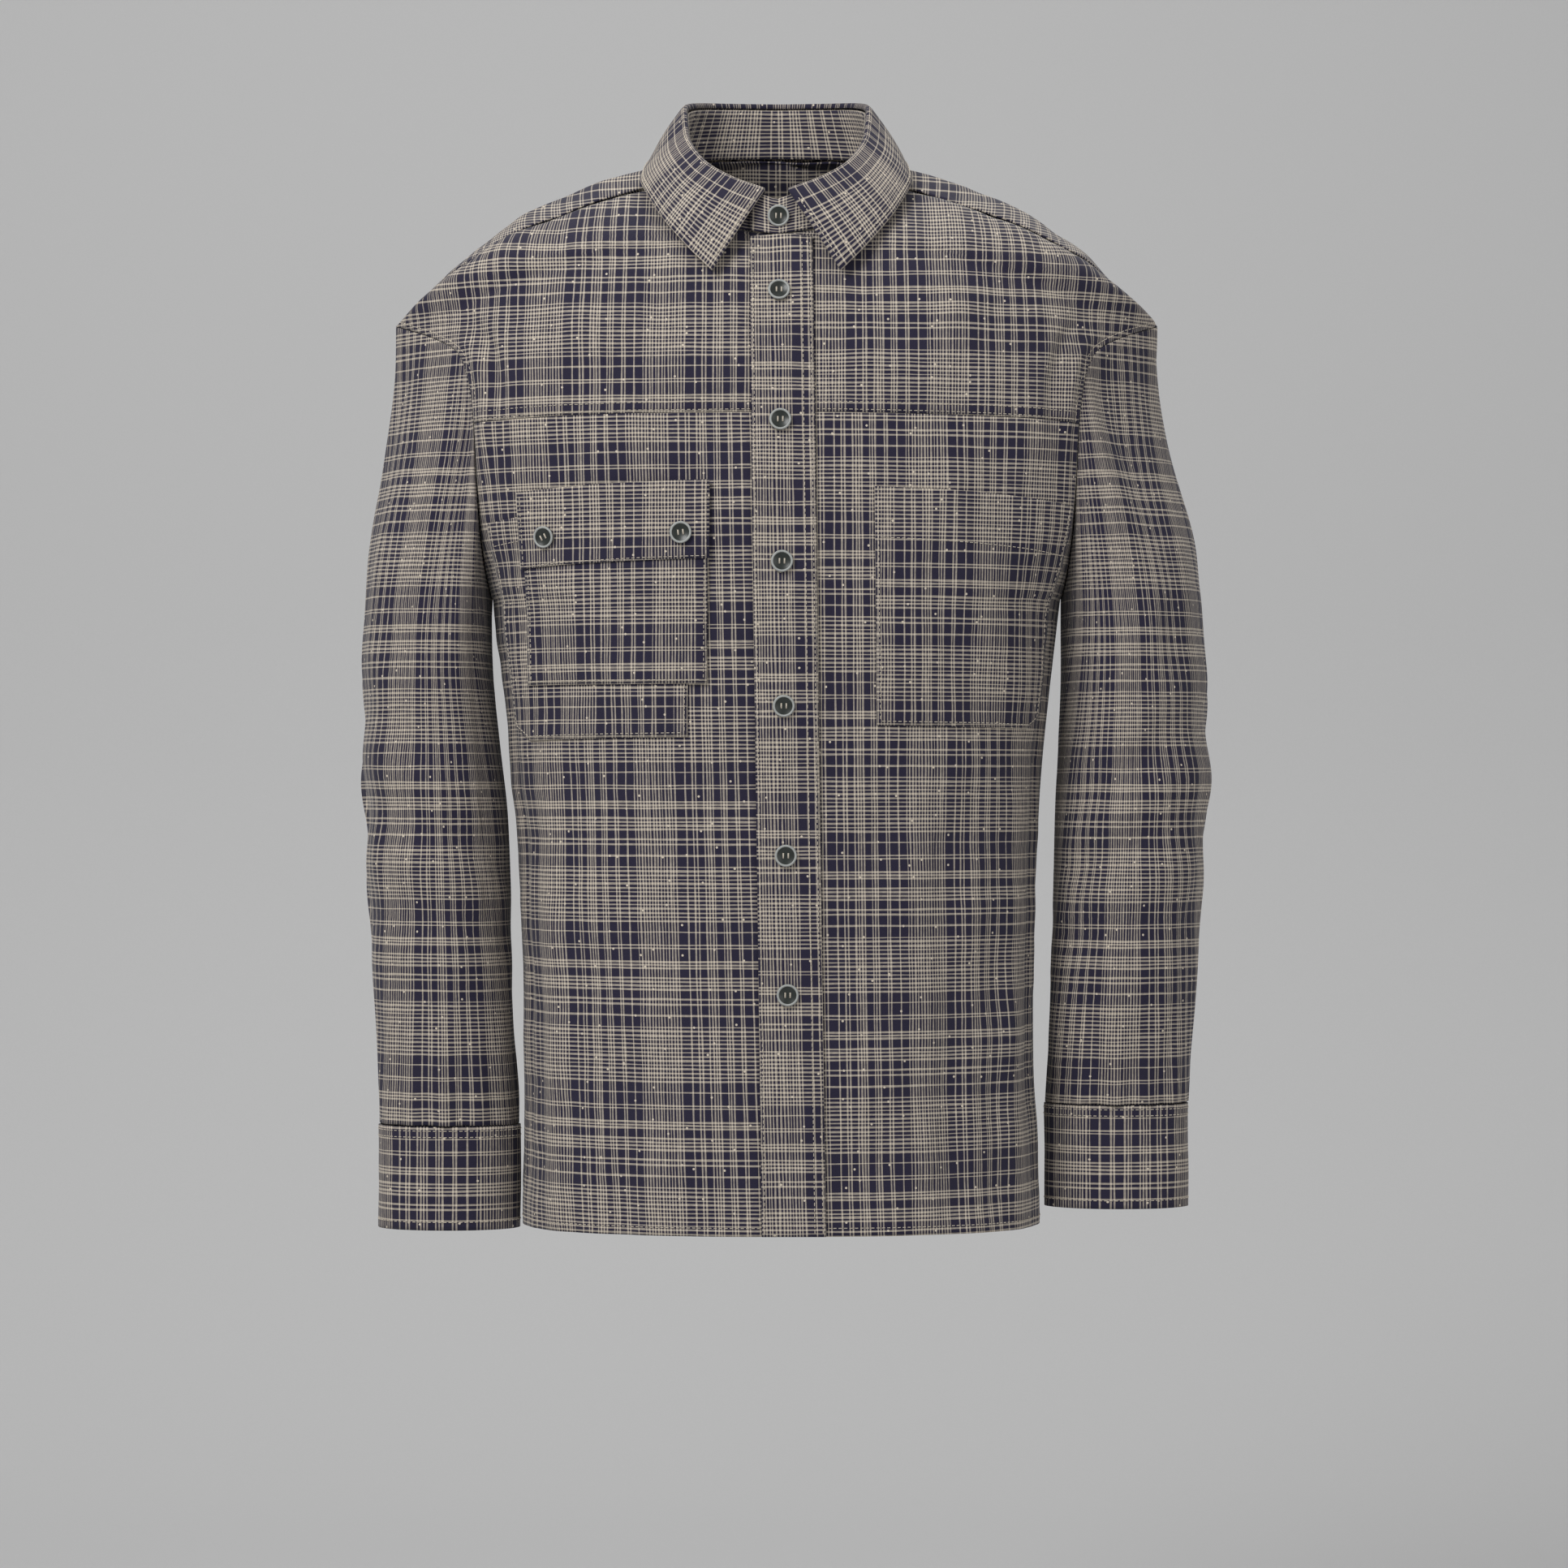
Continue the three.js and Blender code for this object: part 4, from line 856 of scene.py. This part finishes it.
@dataclass
class Arms:
    """The sleeves and their lapped cuffs."""

    shop: Workshop
    thread: Thread

    def dress(self) -> None:
        """Make both arms."""
        self.arm("right", SLEEVE_RIGHT, Lie(-282, -255), Lie(-274, 0))
        self.arm("left", SLEEVE_LEFT, Lie(221, -257), Lie(272, 0))

    def arm(self, name: str, sleeve: Sleeve, lie: Lie, cuff_lie: Lie) -> None:
        """Make one sleeve and its cuff."""
        @lru_cache(maxsize=4000)
        def lengths(at: float) -> tuple[float, ...]:
            total = [0.0]
            points = [sleeve.point((180 + i * 4) % 360, at) for i in range(91)]
            for a, b in zip(points, points[1:]):
                total.append(total[-1] + (b - a).length)
            base = total[67]
            return tuple(value - base for value in total)

        def width(s: float, at: float) -> float:
            rows = lengths(round(at, 2))
            place = s * 90
            low = min(89, int(place))
            return lerp(rows[low], rows[low + 1], place - low)

        def turned(s: float) -> float:
            return (180 + 360 * s) % 360 if s < 1 else 180.0

        def place(s: float, t: float) -> Vector:
            return sleeve.draped(turned(s), 0.998 * t)

        def cloth(s: float, t: float) -> tuple[float, float]:
            point = sleeve.point(turned(s), t)
            wide = sleeve.side * -width(s, t)
            middle = sleeve.point(90, t).x
            return wide + middle - lie.x + 8460, lie.z - point.z + 10870

        self.shop.sheet("sleeve_" + name, (430, 520), place, cloth, False, CLOTH_MM)
        self.cuff(name, sleeve, cuff_lie)

    def cuff(self, name: str, sleeve: Sleeve, lie: Lie) -> None:
        """Make the lapped cuff and its stitching."""
        def spot(s: float, drop: float, lift: float = 0.0) -> tuple[Vector, Vector]:
            turn = CUFF_TURN * s
            phi = (CUFF_START + turn) % 360
            point = sleeve.point(phi, 1)
            point.z = lerp(sleeve.cuff_top, sleeve.cuff_bottom, drop)
            normal = sleeve.outward(phi, 1)
            normal.z = 0
            normal.normalize()
            swell = 0.8 * noise.noise(Vector((phi / 40, drop * 2, sleeve.seed)))
            return point + normal * (lift + CUFF_LIFT * smooth(270, 350, turn) + swell), normal

        ring = sum((spot(i / 40, 0.5)[0] - spot((i + 1) / 40, 0.5)[0]).length for i in range(40))
        tall = sleeve.cuff_top - sleeve.cuff_bottom
        self.shop.sheet(
            "cuff_" + name, (ring, tall), lambda s, t: spot(s, 1 - t)[0],
            lambda s, t: (s * ring + 30, -t * tall + 10870), False, DOUBLE_MM)
        for drop in (0.04, 0.1, 0.92):
            self.thread.row(lambda t, d=drop: spot(t, d, 0.1))
        point, normal = spot(1 - 0.75 / 22, 0.5, 0.4)
        Button(self.shop, "cuff_button_" + name, point, normal).build()


@dataclass
class Collar:
    """The stand and the leaf that rolls over it."""

    shop: Workshop
    thread: Thread

    def ring(self, psi: float, table: Table) -> Vector:
        """Return a point of a neck ring; negative psi is the wearer's right."""
        turned = (psi + 180) % 360 - 180
        return table.point(abs(turned), -1.0 if turned < 0 else 1.0)

    def stand(self, psi: float, up: float, lap: float = 0.0) -> tuple[Vector, Vector]:
        """Return a stand point and its outward direction."""
        seam, fold = self.ring(psi, NECK_SEAM), self.ring(psi, COLLAR_FOLD)
        fold += Vector((-fold.x, -fold.y, 0)).normalized() * 2.2
        fold.z -= 3.4
        point = seam.lerp(fold, up)
        normal = Vector((point.x * 1.2, point.y, 0)).normalized()
        return point + normal * lap, normal

    def leaf(self, psi: float, fall: float, lift: float = 0.0) -> tuple[Vector, Vector]:
        """Return a leaf point: fall below 0 rolls over the fold."""
        fold, edge = self.ring(psi, COLLAR_FOLD), self.ring(psi, LEAF_EDGE)
        out = Vector((fold.x, fold.y, 0)).normalized()
        if fall < 0:
            steps = ((-2.3, -2.5), (-1.2, 0.7), (1.0, 1.2), (2.8, -0.6))
            place = (1 + fall) * 3
            low = min(2, int(place))
            a, b = steps[low], steps[low + 1]
            t = place - low
            return fold + out * lerp(a[0], b[0], t) + Vector((0, 0, lerp(a[1], b[1], t))), out
        start = fold + out * 2.8 - Vector((0, 0, 0.6))
        wave = 1.2 * noise.noise(Vector((psi / 30, fall * 2, 4.4))) * fall
        point = start.lerp(edge, fall) + out * (2.5 * math.sin(math.pi * fall) + wave)
        normal = (out + Vector((0, 0, 0.5))).normalized()
        return point + normal * lift, normal

    def dress(self) -> None:
        """Make both pieces, their stitching and the top button."""
        def stand_spot(s: float, t: float) -> Vector:
            psi = 13 - 387 * s
            lap = 2.6 * smooth(-310, -346, psi) if psi < -310 else 0.0
            return self.stand(psi, 0.02 + 0.96 * t, lap)[0]
        self.shop.sheet("collar_stand", (420, 34), stand_spot,
                        lambda s, t: (s * 420, 36 * (1 - t) + 1), False, CLOTH_MM)

        def leaf_spot(s: float, t: float) -> Vector:
            past = t - LEAF_ROLL_SHARE
            fall = past / LEAF_ROLL_SHARE if past < 0 else past / (1 - LEAF_ROLL_SHARE)
            return self.leaf(-6 - 348 * s, fall)[0]
        self.shop.sheet("collar_leaf", (500, 62), leaf_spot,
                        lambda s, t: (s * 500 + 8, (1 - t) * 62 + 1), False, CLOTH_MM)
        self.thread.row(lambda t: self.leaf(-8 - 344 * t, 0.9, 0.3), 200)
        for psi in (-8, 8):
            self.thread.row(lambda t, p=psi: self.leaf(p, lerp(0.1, 0.9, t), 0.3), 40)
        point, normal = self.stand(1, 0.5, 3.2)
        Button(self.shop, "button_stand", point, normal).build()


@dataclass
class Button:
    """A four-hole button with a pale ground rim, a dark dish and crossed threads."""

    shop: Workshop
    name: str
    seat: Vector
    facing: Vector
    radius: float = 7.5
    height: float = 3.0

    def lathe(self, name: str, profile: Sequence[tuple[float, float]],
              material: bpy.types.Material) -> bpy.types.Object:
        """Turn a profile (radius, height in mm) round the button's axis."""
        bm = bmesh.new()
        ring = [bm.verts.new((r * MM, 0, z * MM)) for r, z in profile]
        edges = [bm.edges.new(pair) for pair in zip(ring, ring[1:])]
        bmesh.ops.spin(bm, geom=ring + edges, axis=(0, 0, 1), cent=(0, 0, 0), angle=math.tau,
                       steps=36)
        bmesh.ops.remove_doubles(bm, verts=bm.verts, dist=1e-6)
        bmesh.ops.recalc_face_normals(bm, faces=bm.faces)
        return self.place(bm, name, material)

    def place(self, bm: bmesh.types.BMesh, name: str,
              material: bpy.types.Material) -> bpy.types.Object:
        """Set the mesh on its seat and make it an object."""
        turn = Vector((0, 0, 1)).rotation_difference(self.facing).to_matrix().to_4x4()
        bmesh.ops.transform(bm, matrix=Matrix.Translation(self.seat * MM) @ turn, verts=bm.verts)
        mesh = bpy.data.meshes.new(name)
        bm.to_mesh(mesh)
        bm.free()
        mesh.shade_smooth()
        mesh.materials.append(material)
        piece = bpy.data.objects.new(name, mesh)
        bpy.context.scene.collection.objects.link(piece)
        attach(piece, "root")
        return piece

    def build(self) -> None:
        """Make the disc, its rim and the threads."""
        high, out = self.height, self.radius
        body = ((0, 0), (out - 1.2, 0), (out - 0.2, 0.8), (out - 0.2, high - 0.6),
                (out - 1.5, high - 0.5), (out - 2.1, high - 0.9), (0, high - 0.9))
        rim = ((out - 0.15, high - 1.3), (out, high - 0.7), (out - 0.3, high - 0.15),
               (out - 0.8, high), (out - 1.3, high - 0.15), (out - 1.6, high - 0.6))
        disc = self.lathe(self.name, body, self.shop.horn)
        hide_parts(self.name)
        self.lathe(self.name + "_rim", rim, self.shop.ring)
        bm = bmesh.new()
        for x in (-1.7, 1.7):
            for shift in (-0.25, 0.25):
                centre = Matrix.Translation(Vector((x + shift, 0, high - 0.75)) * MM)
                size = Matrix.Diagonal((0.45 * MM, 3.6 * MM, 0.5 * MM, 1))
                bmesh.ops.create_cube(bm, size=1, matrix=centre @ size)
        self.place(bm, self.name + "_thread", self.shop.thread)


@dataclass
class Studio:
    """A pale sweep, soft lamps and a level camera in front of the shirt."""

    reach: float = 3.0

    def lamp(self, name: str, where: tuple[float, float, float], size: float, power: float) -> None:
        """Add a soft square lamp turned to the shirt."""
        light = bpy.data.lights.new(name, "AREA")
        light.size, light.energy = size, power
        lamp = bpy.data.objects.new(name, light)
        lamp.location = where
        aim = Vector((0, 0, -0.4)) - Vector(where)
        lamp.rotation_euler = aim.to_track_quat("-Z", "Y").to_euler()
        bpy.context.scene.collection.objects.link(lamp)

    def build(self) -> None:
        """Make the stage."""
        bm = bmesh.new()
        bmesh.ops.create_grid(bm, x_segments=1, y_segments=48, size=0.5)
        for vert in bm.verts:
            t = vert.co.y + 0.5
            bend = min(1.0, max(0.0, (t - 0.4) / 0.2))
            turn = bend * math.pi / 2
            y = -6 + 7.5 * min(t / 0.4, 1.0) + 1.0 * math.sin(turn)
            z = -1.25 + 1.0 * (1 - math.cos(turn)) + 4.0 * max(0.0, (t - 0.6) / 0.4)
            vert.co = (vert.co.x * 14, y, z)
        mesh = bpy.data.meshes.new("sweep")
        bm.to_mesh(mesh)
        bm.free()
        mesh.shade_smooth()
        mesh.materials.append(PAPER.build())
        sweep = bpy.data.objects.new("sweep", mesh)
        bpy.context.scene.collection.objects.link(sweep)
        world = bpy.data.worlds.new("room")
        world.use_nodes = True
        world.node_tree.nodes["Background"].inputs[0].default_value = (1, 1, 1, 1)
        world.node_tree.nodes["Background"].inputs[1].default_value = 0.45
        bpy.context.scene.world = world
        self.lamp("key", (-1.6, -2.0, 1.5), 1.3, 62)
        self.lamp("fill", (2.0, -2.4, 0.2), 2.0, 14)
        self.lamp("top", (0.2, 0.6, 1.9), 1.6, 16)
        data = bpy.data.cameras.new("camera")
        data.lens, data.sensor_width = 97.6, 36
        camera = bpy.data.objects.new("camera", data)
        camera.location = (0.0052, -self.reach, -0.43)
        camera.rotation_euler = (math.pi / 2, 0, 0)
        bpy.context.scene.collection.objects.link(camera)
        bpy.context.scene.camera = camera
        bpy.context.scene.view_settings.view_transform = "Standard"


def add_front_buttons(shop: Workshop) -> None:
    """Sew the buttons on the strip and the flap."""
    for i, height in enumerate(BUTTON_HEIGHTS):
        row = FRONT.row_at(1, height)
        u = strip_u(1, row)
        normal = FRONT.normal(u, row)
        Button(shop, f"button_{i + 1}", FRONT.point(u, row, STRIP_LIFT + DOUBLE_MM + 0.3), normal).build()
    for i, (x, z) in enumerate(((-156, -261), (-64, -260))):
        row = FRONT.row_at(x, z)
        u = FRONT.across(x, row)
        lift = 3 * (CLOTH_MM + GAP_MM) + 0.4
        seat, normal = FRONT.point(u, row, lift), FRONT.normal(u, row)
        Button(shop, f"flap_button_{i + 1}", seat, normal).build()


def main() -> None:
    """Build the shirt, its camera and light, in order."""
    logging.basicConfig(level=logging.INFO)
    shop, thread = Workshop(), Thread()
    Body(shop, thread).dress()
    Arms(shop, thread).dress()
    Collar(shop, thread).dress()
    add_front_buttons(shop)
    stitching = thread.build(shop.thread)
    LOG.info("%s: %d faces", stitching.name, len(stitching.data.polygons))
    Studio().build()


if __name__ == "__main__":
    main()
